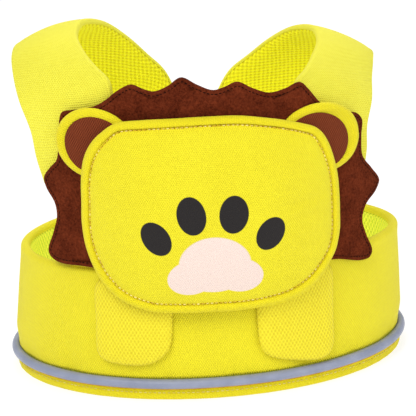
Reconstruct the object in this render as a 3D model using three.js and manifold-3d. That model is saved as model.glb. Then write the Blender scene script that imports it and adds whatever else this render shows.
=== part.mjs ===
// A toddler's harness backpack: a padded chest band that stands on its hem, two padded
// shoulder straps, and a small pocket under an eared flap with a felt ruff round it.
// Millimetres. The flap looks towards -Y, +X is to its right and +Z is up.

import * as THREE from "three";
import { mergeVertices } from "three/addons/utils/BufferGeometryUtils.js";
import Module from "manifold-3d";

const wasm = await Module();
wasm.setup();

// Space left between two pieces that are sewn or laid together, and between a cover and its lining
const clearance = 0.3;
const lining_gap = 0.9;

// Chest band: outer face at the rim, and how it spreads towards the hem
const band_half_width = 105;
const band_half_depth = 79;
const band_height = 70;
const band_flare = 5;
const wall = 5.5;
const canvas = 1.5;
const turned_edge = 2.6;
const closing_gap = 4;

// How much fuller the band's sides are than its hem, and how far its rim leans to the right there
const side_fullness = 1.9;
const rim_lean = 3.6;
const fullness_rise = 12;

// Hem tape under the band, and the reflective piping that is caught above it
const hem_height = 6.6;
const hem_wall = 5;
const piping_diameter = 4.8;

// Back panel between the rim and the shoulders
const panel_half_width = 82;
const panel_top = 150;
const panel_lean = 5;
const seam_inner = 47;
const seam_outer = 86;
const seam_drop = 34;
const neckline_dip = 4.4;

// Shoulder straps
const crest_height = 190;
const strap_width = 41;
const strap_bow = 2.6;
const strap_spread = 2;
const strap_sway = 4.5;
const padding_swell = 0.8;

// Felt ruff
const ruff_half_width = 98;
const ruff_bottom = 68.5;
const ruff_top = 168;
const felt = 2.4;

// Pocket pouch
const pouch_half_width = 47;
const pouch_bottom = 62;
const pouch_top = 128;
const pouch_corner = 19;
const pocket_depth = 11;
const pouch_wall = 1.2;

// Flap
const flap_half_width = 65;
const flap_bottom = 50;
const flap_top = 154.5;
const flap_padding = 3.4;
const flap_roll = 5.6;
const flap_hang = 2.2;

// Ears
const ear_across = 59;
const ear_up = 137;
const ear_half_width = 23;
const ear_half_height = 19;
const ear_padding = 2.6;
const ear_lining = 0.7;
const ear_softening = 0.8;

// Two paw tabs that hang from under the flap
const tab_inner = 21.8;
const tab_width = 43.8;
const tab_bottom = 17.6;
const tab_seam = 2.5;
const tab_padding = 2.8;

// Closure at the far side: webbing on each band end, and a clasp between them
const webbing_width = 25;
const webbing_thickness = 1.3;
const webbing_length = 58;
const webbing_middle = 38;
const clasp_length = 52;
const clasp_height = 33;
const clasp_thickness = 6.5;
const clasp_corner = 7;
const clasp_bar = 4.5;
const clasp_slot = 4.6;

// How far one shoulder stands above the other, as a slope at the crest
const shoulder_slope = 0.09;

// How finely round shapes are divided
const ring_steps = 48;
const strap_steps = 24;
const corner_steps = 5;
const small_steps = 3;
const disc_sides = 20;
const piping_sides = 8;
const quarters = [0.25, 0.5, 0.75];

const canvas_yellow = new THREE.MeshStandardMaterial({ color: 0xf2e41c, roughness: 0.9, metalness: 0 });
const mesh_lime = new THREE.MeshStandardMaterial({ color: 0xdfe51f, roughness: 0.95, metalness: 0 });
const felt_brown = new THREE.MeshStandardMaterial({ color: 0x5c2415, roughness: 1, metalness: 0 });
const twill_brown = new THREE.MeshStandardMaterial({ color: 0x70301f, roughness: 0.9, metalness: 0 });
const reflective_grey = new THREE.MeshStandardMaterial({ color: 0x9497a8, roughness: 0.4, metalness: 0 });
const webbing_black = new THREE.MeshStandardMaterial({ color: 0x1d1b1b, roughness: 0.85, metalness: 0 });
const clasp_black = new THREE.MeshStandardMaterial({ color: 0x151515, roughness: 0.4, metalness: 0 });

const mix = (from, to, share) => from + (to - from) * share;
const clamp01 = (value) => Math.min(1, Math.max(0, value));
const smooth = (value) => clamp01(value) ** 2 * (3 - 2 * clamp01(value));

const piping_middle = hem_height + clearance + piping_diameter / 2;
const piping_top = piping_middle + piping_diameter / 2;
const band_foot = hem_height + clearance;
const shoulder = 1.2;

// Half width and half depth of the outer face at height z.
function faceAt(z) {
  const spread = band_flare * clamp01(1 - z / band_height);
  const rise = clamp01((z - band_height) / (crest_height - band_height));
  return { a: band_half_width + spread, b: band_half_depth + spread - panel_lean * rise };
}

// The ellipse's angle from its nearest point, at a length u along it.
function angleAt(u) {
  const mean = (band_half_width + band_half_depth) / 2;
  const uneven = (band_half_width - band_half_depth) / 4;
  let angle = u / mean;
  for (let round = 0; round < 8; round++) angle = (u - uneven * Math.sin(2 * angle)) / mean;
  return angle;
}

// How far a side stands out beyond the ellipse. It fades away above the rim.
function fullnessAt(angle, z) {
  const full = smooth((z - piping_top) / fullness_rise);
  const up = clamp01((z - piping_top) / (band_height - piping_top));
  const above = smooth((z - band_height) / seam_drop);
  const side = Math.sin(angle);
  return side ** 8 * (1 - above) * (side_fullness * full * Math.sign(side) + rim_lean * up);
}

// A point at an angle round the body, at height z and n outside the outer face.
function around(angle, z, n) {
  const { a, b } = faceAt(z);
  const normal = new THREE.Vector3(Math.sin(angle) / a, -Math.cos(angle) / b, 0).normalize();
  const across = a * Math.sin(angle) + fullnessAt(angle, z);
  return new THREE.Vector3(across, -b * Math.cos(angle), z).addScaledVector(normal, n);
}

// A point at u along and v up the front of the body, and n outside its outer face.
const wrap = (u, v, n) => around(angleAt(u), v, n);

// A closed skin through rings of equal count. Each cap is a point, or triangles of its end ring.
function skin(rings, firstCap, lastCap) {
  const count = rings[0].length;
  const points = rings.flat();
  const faces = [];
  for (let row = 0; row + 1 < rings.length; row++) {
    for (let i = 0; i < count; i++) {
      const here = row * count + i;
      const next = row * count + ((i + 1) % count);
      faces.push(here, next, next + count, here, next + count, here + count);
    }
  }
  for (const [cap, start, turned] of [[firstCap, 0, true], [lastCap, (rings.length - 1) * count, false]]) {
    const triangles = cap.isVector3
      ? rings[0].map((_, i) => [start + i, start + ((i + 1) % count), points.length])
      : cap.map((corner) => corner.map((i) => start + i));
    if (cap.isVector3) points.push(cap);
    for (const [p, q, r] of triangles) faces.push(...(turned ? [q, p, r] : [p, q, r]));
  }
  return facingOut(points.flatMap((p) => [p.x, p.y, p.z]), faces);
}

// A geometry of these corners and triangles, turned so that its faces point outwards.
function facingOut(corners, faces) {
  let volume = 0;
  const corner = (i) => new THREE.Vector3().fromArray(corners, 3 * i);
  for (let i = 0; i < faces.length; i += 3) {
    volume += corner(faces[i]).dot(corner(faces[i + 1]).cross(corner(faces[i + 2])));
  }
  if (volume < 0) faces.reverse();
  const geometry = new THREE.BufferGeometry();
  geometry.setAttribute("position", new THREE.Float32BufferAttribute(corners, 3));
  geometry.setIndex(faces);
  geometry.computeVertexNormals();
  return geometry;
}

// Triangles that fill an outline, turned the same way round as the outline itself.
function capOf(outline) {
  const corners = outline.map(([x, y]) => new THREE.Vector2(x, y));
  const clockwise = THREE.ShapeUtils.isClockWise(corners);
  const triangles = THREE.ShapeUtils.triangulateShape(corners, []);
  return clockwise ? triangles.map((triangle) => triangle.reverse()) : triangles;
}

// A section of [x, y] corners carried along places, each of which turns a corner into a point.
function sweep(section, places) {
  const cap = capOf(section);
  return skin(places.map((place) => section.map(([x, y]) => place(x, y))), cap, cap);
}

// A plate on the front of the body. Its layers run from the middle of its front round to the
// middle of its back: reach is a share of the outline, inset is a length in from it.
function plate(outline, middle, layers) {
  const at = ({ reach = 1, inset = 0, n }, [u, v], i) => {
    const [before, after] = [outline.at(i - 1), outline[(i + 1) % outline.length]];
    const along = [after[0] - before[0], after[1] - before[1]];
    const share = inset / Math.hypot(...along);
    const to = [
      mix(middle[0], u - along[1] * share, reach),
      mix(middle[1], v + along[0] * share, reach),
    ];
    return wrap(...to, typeof n === "function" ? n(...to) : n);
  };
  const rings = layers.slice(1, -1).map((layer) => outline.map((corner, i) => at(layer, corner, i)));
  const [first, last] = [layers[0], layers.at(-1)].map(({ n }) =>
    wrap(...middle, typeof n === "function" ? n(...middle) : n));
  return skin(rings, first, last);
}

// Layers at an even pitch from a plate's middle towards its outline, all at n.
const reaches = (count, n) => Array.from({ length: count - 1 }, (_, i) => ({ reach: (i + 1) / count, n }));

// Points of an arc, from one angle to another in quarter turns from +u towards +v.
function arc(u, v, radius, from, to, steps = corner_steps) {
  return Array.from({ length: steps + 1 }, (_, i) => {
    const turn = mix(from, to, i / steps) * Math.PI / 2;
    return [u + radius * Math.cos(turn), v + radius * Math.sin(turn)];
  });
}

// A full circle of points.
const roundOf = (u, v, radius, sides) => arc(u, v, radius, 0, 4 * (sides - 1) / sides, sides - 1);

// An outline from a table of shares: across from u, and up from v.
const outlineOf = (table, u, v, width, height) =>
  table.map(([across, up]) => [u + across * width, v + up * height]);

// Points at the quarters of the way between two points.
const between = (from, to) => quarters.map((share) => from.map((value, axis) => mix(value, to[axis], share)));

// A rectangle with one radius on its lower corners and one on its upper ones, with middle
// points on its straight sides so that it can be wrapped round the body.
function roundedBox(left, right, bottom, top, low, high, steps = corner_steps) {
  const corners = [
    arc(right - low, bottom + low, low, -1, 0, steps),
    arc(right - high, top - high, high, 0, 1, steps),
    arc(left + high, top - high, high, 1, 2, steps),
    arc(left + low, bottom + low, low, 2, 3, steps),
  ];
  return corners.flatMap((points, i) => [...points, ...between(points.at(-1), corners[(i + 1) % 4][0])]);
}

// The band, its lining, the hem tape and the piping all run from one band end to the other.
function bandPiece(section) {
  const end = Math.PI - angleAt(closing_gap / 2);
  const places = Array.from({ length: ring_steps + 1 }, (_, i) => {
    const angle = mix(-end, end, i / ring_steps);
    return (n, z) => around(angle, z, n);
  });
  return sweep(section, places);
}

const bandCover = () => bandPiece([
  [0, piping_top + clearance],
  [0, piping_top + fullness_rise],
  [0, band_height - shoulder],
  [-shoulder, band_height],
  [-(wall - shoulder), band_height],
  [-wall, band_height - shoulder],
  [-wall, band_height - turned_edge],
  [-canvas, band_height - turned_edge],
  [-canvas, piping_top + fullness_rise],
  [-canvas, piping_top + clearance],
]);

const bandLining = () => bandPiece([
  [-(canvas + clearance), band_foot],
  [-(canvas + clearance), piping_top],
  [-(canvas + clearance), piping_top + fullness_rise],
  [-(canvas + clearance), band_height - turned_edge - clearance],
  [-(wall - shoulder), band_height - turned_edge - clearance],
  [-wall, band_height - turned_edge - 2 * shoulder],
  [-(wall + padding_swell), band_height / 2],
  [-wall, band_foot + shoulder],
  [-(wall - shoulder), band_foot],
]);

const hemBinding = () => bandPiece([
  [-shoulder, 0],
  [0, shoulder],
  [0, hem_height],
  [-hem_wall, hem_height],
  [-hem_wall, shoulder],
  [-(hem_wall - shoulder), 0],
]);

const pipingStrip = () => bandPiece(
  roundOf(piping_diameter / 2 - canvas, piping_middle, piping_diameter / 2, piping_sides));

// The panel's right half, from the middle of its foot up to the shoulder seam.
const panel_side = [
  [0, 0], [0.19, 0], [0.38, 0], [0.57, 0], [0.76, 0], [0.95, 0],
  [1, 0.06], [0.99, 0.22], [1.02, 0.38],
];

// Its neckline, in shares of seam_inner across and of neckline_dip down.
const neckline = [[0.66, 0.68], [0.33, 0.91], [0, 1]];

function panelOutline(inset = 0) {
  const foot = band_height + clearance;
  const [outer, inner] = [[seam_outer, panel_top - seam_drop], [seam_inner, panel_top]];
  const half = [
    ...outlineOf(panel_side, 0, foot, panel_half_width, panel_top - foot),
    outer, ...between(outer, inner), inner,
    ...outlineOf(neckline, 0, panel_top, seam_inner, -neckline_dip),
  ];
  const mirrored = half.slice(1, -1).reverse().map(([u, v]) => [-u, v]);
  return [...half, ...mirrored].map(([u, v]) => [u * (1 - inset / panel_half_width), v]);
}

const panel_centre = [0, mix(band_height, panel_top, 0.45)];

const panel_face = -clearance;

const panelCover = () => plate(panelOutline(), panel_centre, [
  { n: panel_face },
  ...reaches(5, panel_face),
  { n: panel_face },
  { n: -wall },
  { inset: turned_edge, n: -wall },
  { inset: turned_edge, n: -canvas },
  ...reaches(5, -canvas).reverse(),
  { n: -canvas },
]);

const panelLining = () => plate(panelOutline(), panel_centre, [
  { n: -(canvas + lining_gap) },
  ...reaches(5, -(canvas + lining_gap)),
  { inset: turned_edge + lining_gap / 2, n: -(canvas + lining_gap) },
  { inset: turned_edge + lining_gap / 2, n: -wall },
  ...reaches(3, -(wall + padding_swell)).reverse(),
  { n: -(wall + padding_swell) },
]);

// The strap's way over the shoulder, from the panel's seam to the far rim. Its edges are placed by
// shares of band_half_width, band_half_depth and crest_height. bow, spread and sway are shares of
// the lengths with those names.
const strap_route = [
  { inner: [0.443, -0.853, 0.797], outer: [0.825, -0.545, 0.584], bow: 1, spread: 0, sway: 0 },
  { inner: [0.453, -0.844, 0.842], outer: [0.853, -0.5, 0.647], bow: 1, spread: 0.2, sway: 0 },
  { inner: [0.469, -0.83, 0.884], outer: [0.867, -0.468, 0.716], bow: 1, spread: 0.5, sway: 0 },
  { inner: [0.529, -0.728, 0.916], outer: [0.912, -0.372, 0.792], bow: 1, spread: 0.8, sway: 0 },
  { inner: [0.581, -0.57, 0.945], outer: [0.932, -0.255, 0.85], bow: 1, spread: 1, sway: 0 },
  { inner: [0.619, -0.342, 0.974], outer: [0.945, -0.139, 0.897], bow: 1, spread: 1, sway: 0.2 },
  { inner: [0.6, -0.076, 0.995], outer: [0.939, 0.019, 0.916], bow: 1, spread: 0.9, sway: 0.6 },
  { inner: [0.5, 0.2, 0.977], outer: [0.843, 0.294, 0.882], bow: 1, spread: 0.6, sway: 0.9 },
  { inner: [0.39, 0.43, 0.924], outer: [0.713, 0.503, 0.816], bow: 0.9, spread: 0.2, sway: 1 },
  { inner: [0.283, 0.61, 0.858], outer: [0.591, 0.672, 0.739], bow: 0.8, spread: 0, sway: 1 },
  { inner: [0.171, 0.775, 0.784], outer: [0.499, 0.785, 0.676], bow: 0.7, spread: 0, sway: 0.9 },
  { inner: [0.081, 0.89, 0.653], outer: [0.447, 0.87, 0.589], bow: 0.6, spread: 0, sway: 0.6 },
  { inner: [0.034, 0.965, 0.511], outer: [0.412, 0.913, 0.489], bow: 0.6, spread: 0, sway: 0.2 },
  { inner: [0.02, 1, 0.371], outer: [0.401, 0.919, 0.371], bow: 0.5, spread: 0, sway: 0 },
];

// The strap's stations as places for a section: across is a share of its width, n is outwards.
function strapPlaces(side) {
  const size = new THREE.Vector3(band_half_width, band_half_depth, crest_height);
  const at = ([across, along, up], aside) =>
    new THREE.Vector3(across, along, up).multiply(size).add(new THREE.Vector3(aside, 0, 0));
  const innerEdge = new THREE.CatmullRomCurve3(strap_route.map(({ inner, sway }) =>
    at(inner, side * sway * strap_sway)));
  const outerEdge = new THREE.CatmullRomCurve3(strap_route.map(({ outer, spread, sway }) =>
    at(outer, side * (sway * strap_sway - spread * strap_spread))));
  return Array.from({ length: strap_steps + 1 }, (_, i) => {
    const t = i / strap_steps;
    const [from, to] = [innerEdge.getPoint(t), outerEdge.getPoint(t)];
    const ahead = innerEdge.getTangent(t).add(outerEdge.getTangent(t));
    const outwards = to.clone().sub(from).cross(ahead).normalize();
    const row = t * (strap_route.length - 1);
    const [before, after] = [strap_route[Math.floor(row)], strap_route[Math.ceil(row)]];
    const bow = strap_bow * mix(before.bow, after.bow, row % 1);
    return (across, n) => {
      const point = from.clone().lerp(to, across);
      point.addScaledVector(outwards, n + bow * 4 * across * (1 - across));
      point.x *= side;
      return point;
    };
  });
}

function strapCover(side) {
  const soft = shoulder / strap_width;
  const border = turned_edge / strap_width;
  return sweep([
    [0, -shoulder], [soft, 0], [0.25, 0], [0.5, 0], [0.75, 0], [1 - soft, 0], [1, -shoulder],
    [1, -wall], [1 - border, -wall],
    [1 - border, -canvas], [0.66, -canvas], [0.33, -canvas], [border, -canvas],
    [border, -wall], [0, -wall],
  ], strapPlaces(side));
}

function strapLining(side) {
  const edge = (turned_edge + lining_gap / 2) / strap_width;
  const top = -(canvas + lining_gap);
  return sweep([
    [edge, top], [0.33, top], [0.66, top], [1 - edge, top],
    [1 - edge, -wall], [0.66, -(wall + padding_swell)], [0.33, -(wall + padding_swell)], [edge, -wall],
  ], strapPlaces(side));
}

// The ruff's ten rounded points, cut by eye, from the middle of its foot to the right and round.
const ruff_table = [
  [0, 0], [0.112, 0], [0.224, 0], [0.342, -0.003], [0.459, -0.005],
  [0.575, -0.011], [0.69, -0.016], [0.862, -0.063], [0.929, -0.062], [0.953, -0.026],
  [0.912, 0.08], [0.89, 0.174], [0.927, 0.252], [1.026, 0.312], [1.068, 0.366],
  [0.993, 0.457], [0.917, 0.545], [0.912, 0.66], [0.922, 0.754], [0.877, 0.799],
  [0.809, 0.814], [0.689, 0.855], [0.623, 0.896], [0.598, 0.926], [0.556, 0.976],
  [0.517, 1.009], [0.429, 0.977], [0.343, 0.959], [0.255, 0.986], [0.174, 1.022],
  [0.107, 0.995], [0.045, 0.978], [-0.036, 1.006], [-0.115, 1.042], [-0.189, 0.994],
  [-0.262, 0.964], [-0.321, 0.976], [-0.376, 0.995], [-0.444, 0.964], [-0.531, 0.899],
  [-0.585, 0.871], [-0.722, 0.838], [-0.778, 0.823], [-0.8, 0.773], [-0.818, 0.673],
  [-0.833, 0.577], [-0.887, 0.526], [-0.932, 0.471], [-0.919, 0.418], [-0.869, 0.348],
  [-0.861, 0.281], [-0.891, 0.199], [-0.94, 0.088], [-0.913, 0.054], [-0.853, 0.037],
  [-0.727, 0.035], [-0.593, 0.028], [-0.459, 0.02], [-0.342, 0.013], [-0.224, 0.005],
  [-0.112, 0.003],
];

const ruffOutline = () => outlineOf(ruff_table, 0, ruff_bottom, ruff_half_width, ruff_top - ruff_bottom);

const ruff_back = 2 * clearance;
const ruff_front = ruff_back + felt;
const ruff_centre = [0, mix(ruff_bottom, ruff_top, 0.45)];

const feltRuff = () => plate(ruffOutline(), ruff_centre, [
  { n: ruff_front },
  ...reaches(5, ruff_front),
  { n: ruff_front },
  { n: ruff_back },
  ...reaches(5, ruff_back).reverse(),
  { n: ruff_back },
]);

// How far the full pocket lifts the flap off the ruff, and what else holds the flap off it:
// the ears under its upper corners, and its own stiffness where it hangs free below.
const flap_middle = [0, (flap_bottom + flap_top) / 2];
const ear_stack = ear_padding + clearance + ear_lining + clearance;

function pocketLift(u, v) {
  const across = clamp01(1 - Math.abs(u / flap_half_width) ** 2.4);
  const up = clamp01(1 - Math.abs((v - flap_middle[1]) / (flap_middle[1] - flap_bottom)) ** 2.4);
  return pocket_depth * across * up;
}

function flapBack(u, v) {
  const high = clamp01((v - flap_bottom) / (ear_up - ear_half_height - flap_bottom));
  const corners = ear_stack * smooth(Math.abs(u) / (ear_across - ear_half_width));
  return ruff_front + clearance + pocketLift(u, v) + mix(flap_hang, corners, high);
}

const pouchFront = (u, v) => flapBack(u, v) - 2 * clearance;

// The pouch is cut hollow and open at its top, under the flap.
function pocketPouch() {
  const back = ruff_front + 2 * clearance;
  const middle = [0, (pouch_bottom + pouch_top) / 2];
  const outside = roundedBox(-pouch_half_width, pouch_half_width, pouch_bottom, pouch_top,
    pouch_corner, pouch_corner, small_steps);
  const inside = roundedBox(-(pouch_half_width - pouch_wall), pouch_half_width - pouch_wall,
    pouch_bottom + pouch_wall, pouch_top + pouch_corner, pouch_corner - pouch_wall, pouch_wall, small_steps);
  const body = (outline, low, high) => plate(outline, middle, [
    { n: high },
    ...reaches(5, high),
    { n: high },
    { n: low },
    ...reaches(5, low).reverse(),
    { n: low },
  ]);
  return subtract(
    body(outside, back, pouchFront),
    body(inside, back + pouch_wall, (u, v) => pouchFront(u, v) - pouch_wall));
}

function solidOf(geometry) {
  const bare = geometry.clone();
  bare.deleteAttribute("normal");
  const merged = mergeVertices(bare);
  return new wasm.Manifold(new wasm.Mesh({
    numProp: 3,
    vertProperties: new Float32Array(merged.attributes.position.array),
    triVerts: new Uint32Array(merged.index.array),
  }));
}

function geometryOf(solid) {
  const mesh = solid.getMesh();
  return facingOut(Array.from(mesh.vertProperties), Array.from(mesh.triVerts));
}

const subtract = (from, tool) => geometryOf(solidOf(from).subtract(solidOf(tool)));

// The flap's outline, from the middle of its foot to the right and round.
const flap_table = [
  [0, 0.001], [0.222, -0.001], [0.478, 0.015], [0.6, 0.034], [0.697, 0.061],
  [0.778, 0.096], [0.843, 0.132], [0.925, 0.189], [0.99, 0.256], [1.025, 0.344],
  [1.03, 0.45], [1.028, 0.561], [1.01, 0.679], [0.964, 0.786], [0.926, 0.842],
  [0.88, 0.887], [0.822, 0.918], [0.749, 0.936], [0.631, 0.958], [0.515, 0.974],
  [0.265, 0.991], [0.025, 0.986], [-0.215, 0.979], [-0.462, 0.97], [-0.671, 0.95],
  [-0.777, 0.906], [-0.866, 0.85], [-0.937, 0.771], [-0.975, 0.675], [-0.991, 0.561],
  [-1.003, 0.437], [-0.982, 0.332], [-0.925, 0.236], [-0.88, 0.186], [-0.823, 0.139],
  [-0.754, 0.094], [-0.671, 0.058], [-0.575, 0.031], [-0.474, 0.012], [-0.225, 0.002],
];

const flapOutline = () => outlineOf(flap_table, 0, flap_bottom, flap_half_width, flap_top - flap_bottom);

// The flap is softly padded, with a rolled edge outside a line of top stitching.
function frontFlap() {
  const over = (height) => (u, v) => flapBack(u, v) + height;
  return plate(flapOutline(), flap_middle, [
    { n: over(flap_padding) },
    ...reaches(5, over(flap_padding)).slice(0, 4),
    { inset: flap_roll * 1.8, n: over(flap_padding * 0.96) },
    { inset: flap_roll * 1.08, n: over(flap_padding * 0.66) },
    { inset: flap_roll * 0.5, n: over(flap_padding * 1.12) },
    { inset: flap_roll * 0.12, n: over(flap_padding * 0.85) },
    { n: over(flap_padding * 0.45) },
    { inset: flap_roll * 0.18, n: over(0) },
    ...reaches(5, over(0)).reverse(),
    { n: over(0) },
  ]);
}

// The ears and the twill discs on them: middle and half size, in shares of the ear sizes.
const ear_table = {
  left: { across: -0.973, up: 0.996, wide: 0.957, high: 0.953 },
  right: { across: 1.025, up: 1.004, wide: 1.057, high: 1.042 },
};
const ear_lining_table = {
  left: { across: -0.953, up: 0.99, wide: 0.748, high: 0.784 },
  right: { across: 0.966, up: 0.991, wide: 0.839, high: 0.868 },
};

// An upright oval pad between two distances from the body, softened at its front edge.
function oval({ across, up, wide, high: tall }, low, high, softening) {
  const [u, v] = [across * ear_across, up * ear_up];
  const outline = roundOf(0, 0, 1, disc_sides)
    .map(([x, y]) => [u + x * wide * ear_half_width, v + y * tall * ear_half_height]);
  return plate(outline, [u, v], [
    { n: high },
    { reach: 0.6, n: high },
    { inset: softening, n: high },
    { n: high - softening },
    { n: low },
    { reach: 0.5, n: low },
    { n: low },
  ]);
}

const ear_back = ruff_front + clearance;
const ear = (name) => oval(ear_table[name], ear_back, ear_back + ear_padding, ear_softening);

function earLining(name) {
  const back = ear_back + ear_padding + clearance;
  return oval(ear_lining_table[name], back, back + ear_lining, ear_lining / 3);
}

// Each tab's outline, from the inner end of its top edge down and round: across from tab_inner in
// shares of tab_width, and up from tab_bottom.
const tab_tables = {
  left: [
    [0.009, 1], [0.011, 0.64], [0.018, 0.517], [0.027, 0.405], [0.046, 0.293],
    [0.073, 0.221], [0.126, 0.163], [0.256, 0.079], [0.358, 0.05], [0.525, 0.041],
    [0.669, 0.05], [0.815, 0.072], [0.895, 0.112], [0.938, 0.176], [0.954, 0.287],
    [0.959, 0.424], [0.963, 0.583], [0.973, 0.773], [0.982, 1], [0.735, 1],
    [0.484, 1], [0.233, 1],
  ],
  right: [
    [-0.011, 1], [-0.014, 0.62], [-0.014, 0.372], [-0.009, 0.258], [0.014, 0.165],
    [0.068, 0.097], [0.148, 0.052], [0.242, 0.021], [0.447, -0.025], [0.598, -0.052],
    [0.701, -0.06], [0.79, -0.05], [0.863, -0.014], [0.913, 0.068], [0.936, 0.178],
    [0.954, 0.347], [0.975, 0.517], [1, 0.731], [1.023, 1], [0.758, 1],
    [0.484, 1], [0.233, 1],
  ],
};

// The tabs are sewn on just below the ruff's foot.
function pawTab(side) {
  const top = ruff_bottom - tab_seam;
  const table = side < 0 ? tab_tables.left.toReversed() : tab_tables.right;
  const outline = outlineOf(table, side * tab_inner, tab_bottom, side * tab_width, top - tab_bottom);
  const centre = [side * (tab_inner + tab_width / 2), (tab_bottom + top) / 2];
  const high = clearance + tab_padding;
  return plate(outline, centre, [
    { n: high },
    { reach: 0.6, n: high },
    { inset: tab_padding * 0.9, n: high - tab_padding * 0.15 },
    { n: clearance + tab_padding * 0.35 },
    { inset: tab_padding * 0.2, n: clearance },
    { reach: 0.5, n: clearance },
    { n: clearance },
  ]);
}

// The clasp stands off the band by the webbing that is looped round its end bars.
const clasp_back = clearance + webbing_thickness + clearance;
const slot_outer = clasp_length / 2 - clasp_bar;

// Beside the clasp the webbing keeps to the clasp's flat back, and beyond it to the band.
function closurePlace(u, n, v) {
  const flat = new THREE.Vector3(u, -faceAt(v).b - n, v);
  const away = (Math.abs(u) - clasp_length / 2) / (webbing_length - clasp_length / 2);
  return flat.lerp(wrap(u, v, n), smooth(away));
}

// The closure is laid out on the near side of the body and turned to its far side.
function turned(geometry) {
  return geometry.rotateZ(Math.PI);
}

function chestClasp() {
  const slab = (outline, near, far) => solidOf(sweep(outline, [near, far].map((n) =>
    (u, v) => closurePlace(u, clasp_back + n, webbing_middle + v))));
  const [long, tall, bar] = [clasp_length / 2, clasp_height / 2, webbing_width / 2 + 2 * clearance];
  const slots = [slot_outer, clasp_slot - slot_outer].map((right) =>
    slab([[right - clasp_slot, -bar], [right, -bar], [right, bar], [right - clasp_slot, bar]],
      -clearance, clasp_thickness + clearance));
  const outline = roundedBox(-long, long, -tall, tall, clasp_corner, clasp_corner, small_steps);
  const body = slab(outline, 0, clasp_thickness);
  return turned(geometryOf(body.subtract(slots[0]).subtract(slots[1])));
}

// Webbing from the band, out through the clasp's slot, over its end bar and back to the band.
function closureWebbing(side) {
  const thick = webbing_thickness;
  const front = clasp_back + clasp_thickness + clearance;
  const inner = slot_outer - clearance - thick;
  const outer = clasp_length / 2 + clearance + thick;
  const hem = outer + 3 * thick;
  const outline = [
    [inner, clearance],
    [inner, front + thick],
    [outer, front + thick],
    [outer, clearance + 2 * thick],
    [hem, clearance + 2 * thick],
    [hem, clearance + thick],
    [webbing_length, clearance + thick],
    [webbing_length, clearance],
    [hem, clearance],
    [outer, clearance],
  ];
  const eye = [
    [inner + thick, clearance + thick],
    [outer - thick, clearance + thick],
    [outer - thick, front],
    [inner + thick, front],
  ];
  const half = webbing_width / 2;
  const loop = (section, reach) => sweep(section, [-reach, reach].map((across) =>
    (u, n) => closurePlace(-side * u, n, webbing_middle + across)));
  return turned(subtract(loop(outline, half), loop(eye, half + thick)));
}

// What is above the band leans towards its lower shoulder.
function settled(geometry) {
  const corners = geometry.getAttribute("position");
  for (let i = 0; i < corners.count; i++) {
    const rise = Math.max(0, (corners.getZ(i) - band_height) / (crest_height - band_height));
    corners.setZ(i, corners.getZ(i) - shoulder_slope * rise * corners.getX(i));
  }
  return geometry;
}

const harness = new THREE.Group();

function add(name, geometry, material) {
  const mesh = new THREE.Mesh(settled(geometry), material);
  mesh.name = name;
  harness.add(mesh);
}

add("band_cover", bandCover(), canvas_yellow);
add("band_lining", bandLining(), mesh_lime);
add("hem_binding", hemBinding(), canvas_yellow);
add("reflective_piping", pipingStrip(), reflective_grey);
add("back_panel", panelCover(), canvas_yellow);
add("back_panel_lining", panelLining(), mesh_lime);
add("felt_ruff", feltRuff(), felt_brown);
add("pocket_pouch", pocketPouch(), canvas_yellow);
add("front_flap", frontFlap(), canvas_yellow);
for (const [side, name] of [[-1, "left"], [1, "right"]]) {
  add(`shoulder_strap_${name}`, strapCover(side), canvas_yellow);
  add(`strap_lining_${name}`, strapLining(side), mesh_lime);
  add(`ear_${name}`, ear(name), canvas_yellow);
  add(`ear_lining_${name}`, earLining(name), twill_brown);
  add(`paw_tab_${name}`, pawTab(side), canvas_yellow);
  add(`closure_webbing_${name}`, closureWebbing(side), webbing_black);
}
add("chest_clasp", chestClasp(), clasp_black);

const box = new THREE.Box3().setFromObject(harness);
const middle = box.getCenter(new THREE.Vector3());
for (const piece of harness.children) piece.geometry.translate(-middle.x, -middle.y, -box.min.z);

export default harness;
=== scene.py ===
# %% [markdown]
# # A toddler's harness backpack
# A padded chest band stands on its hem, as if a child wore it. Behind the flap a panel rises
# from the band to two padded straps, which go over the shoulders to the far side. The front
# carries a felt ruff, a small pocket, a padded flap, two ears and two hanging tabs.
# Each cell below makes one of these, on the same body surface that the CAD solids follow.

import math

import bmesh
import bpy
import numpy as np
from mathutils import Matrix, Vector


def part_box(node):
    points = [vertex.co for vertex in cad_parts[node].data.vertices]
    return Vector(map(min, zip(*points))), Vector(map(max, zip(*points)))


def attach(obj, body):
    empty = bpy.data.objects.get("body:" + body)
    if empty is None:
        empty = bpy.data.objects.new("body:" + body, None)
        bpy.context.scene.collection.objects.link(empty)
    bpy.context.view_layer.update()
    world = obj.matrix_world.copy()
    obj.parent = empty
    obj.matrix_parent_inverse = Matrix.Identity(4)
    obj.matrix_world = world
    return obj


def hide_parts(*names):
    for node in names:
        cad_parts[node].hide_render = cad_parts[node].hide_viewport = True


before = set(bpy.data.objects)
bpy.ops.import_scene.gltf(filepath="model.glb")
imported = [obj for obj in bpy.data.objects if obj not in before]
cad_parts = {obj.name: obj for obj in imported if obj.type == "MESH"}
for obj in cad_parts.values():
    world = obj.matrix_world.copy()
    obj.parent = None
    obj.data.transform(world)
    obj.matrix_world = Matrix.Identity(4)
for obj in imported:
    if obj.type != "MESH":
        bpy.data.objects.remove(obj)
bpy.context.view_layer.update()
MM = 0.001


def put(name, data):
    """A new object in the scene."""
    obj = bpy.data.objects.new(name, data)
    bpy.context.scene.collection.objects.link(obj)
    return obj


# %% [markdown]
# ## The camera
# A long lens stands about a metre away, a little above the flap and a little to its left, and
# it leans by three degrees. It is aimed at the point that the picture's middle shows.

# %% Camera
PICTURE_SIDE = 416
PIXELS_PER_METRE = 1777
camera_distance = 1.0
camera_elevation = math.radians(15)
camera_azimuth = math.radians(-3)
camera_roll = math.radians(-3)
lens_point = Vector((0, 0, 0.09))
middle_off_lens_point = (6.0, -12.2)

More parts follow.
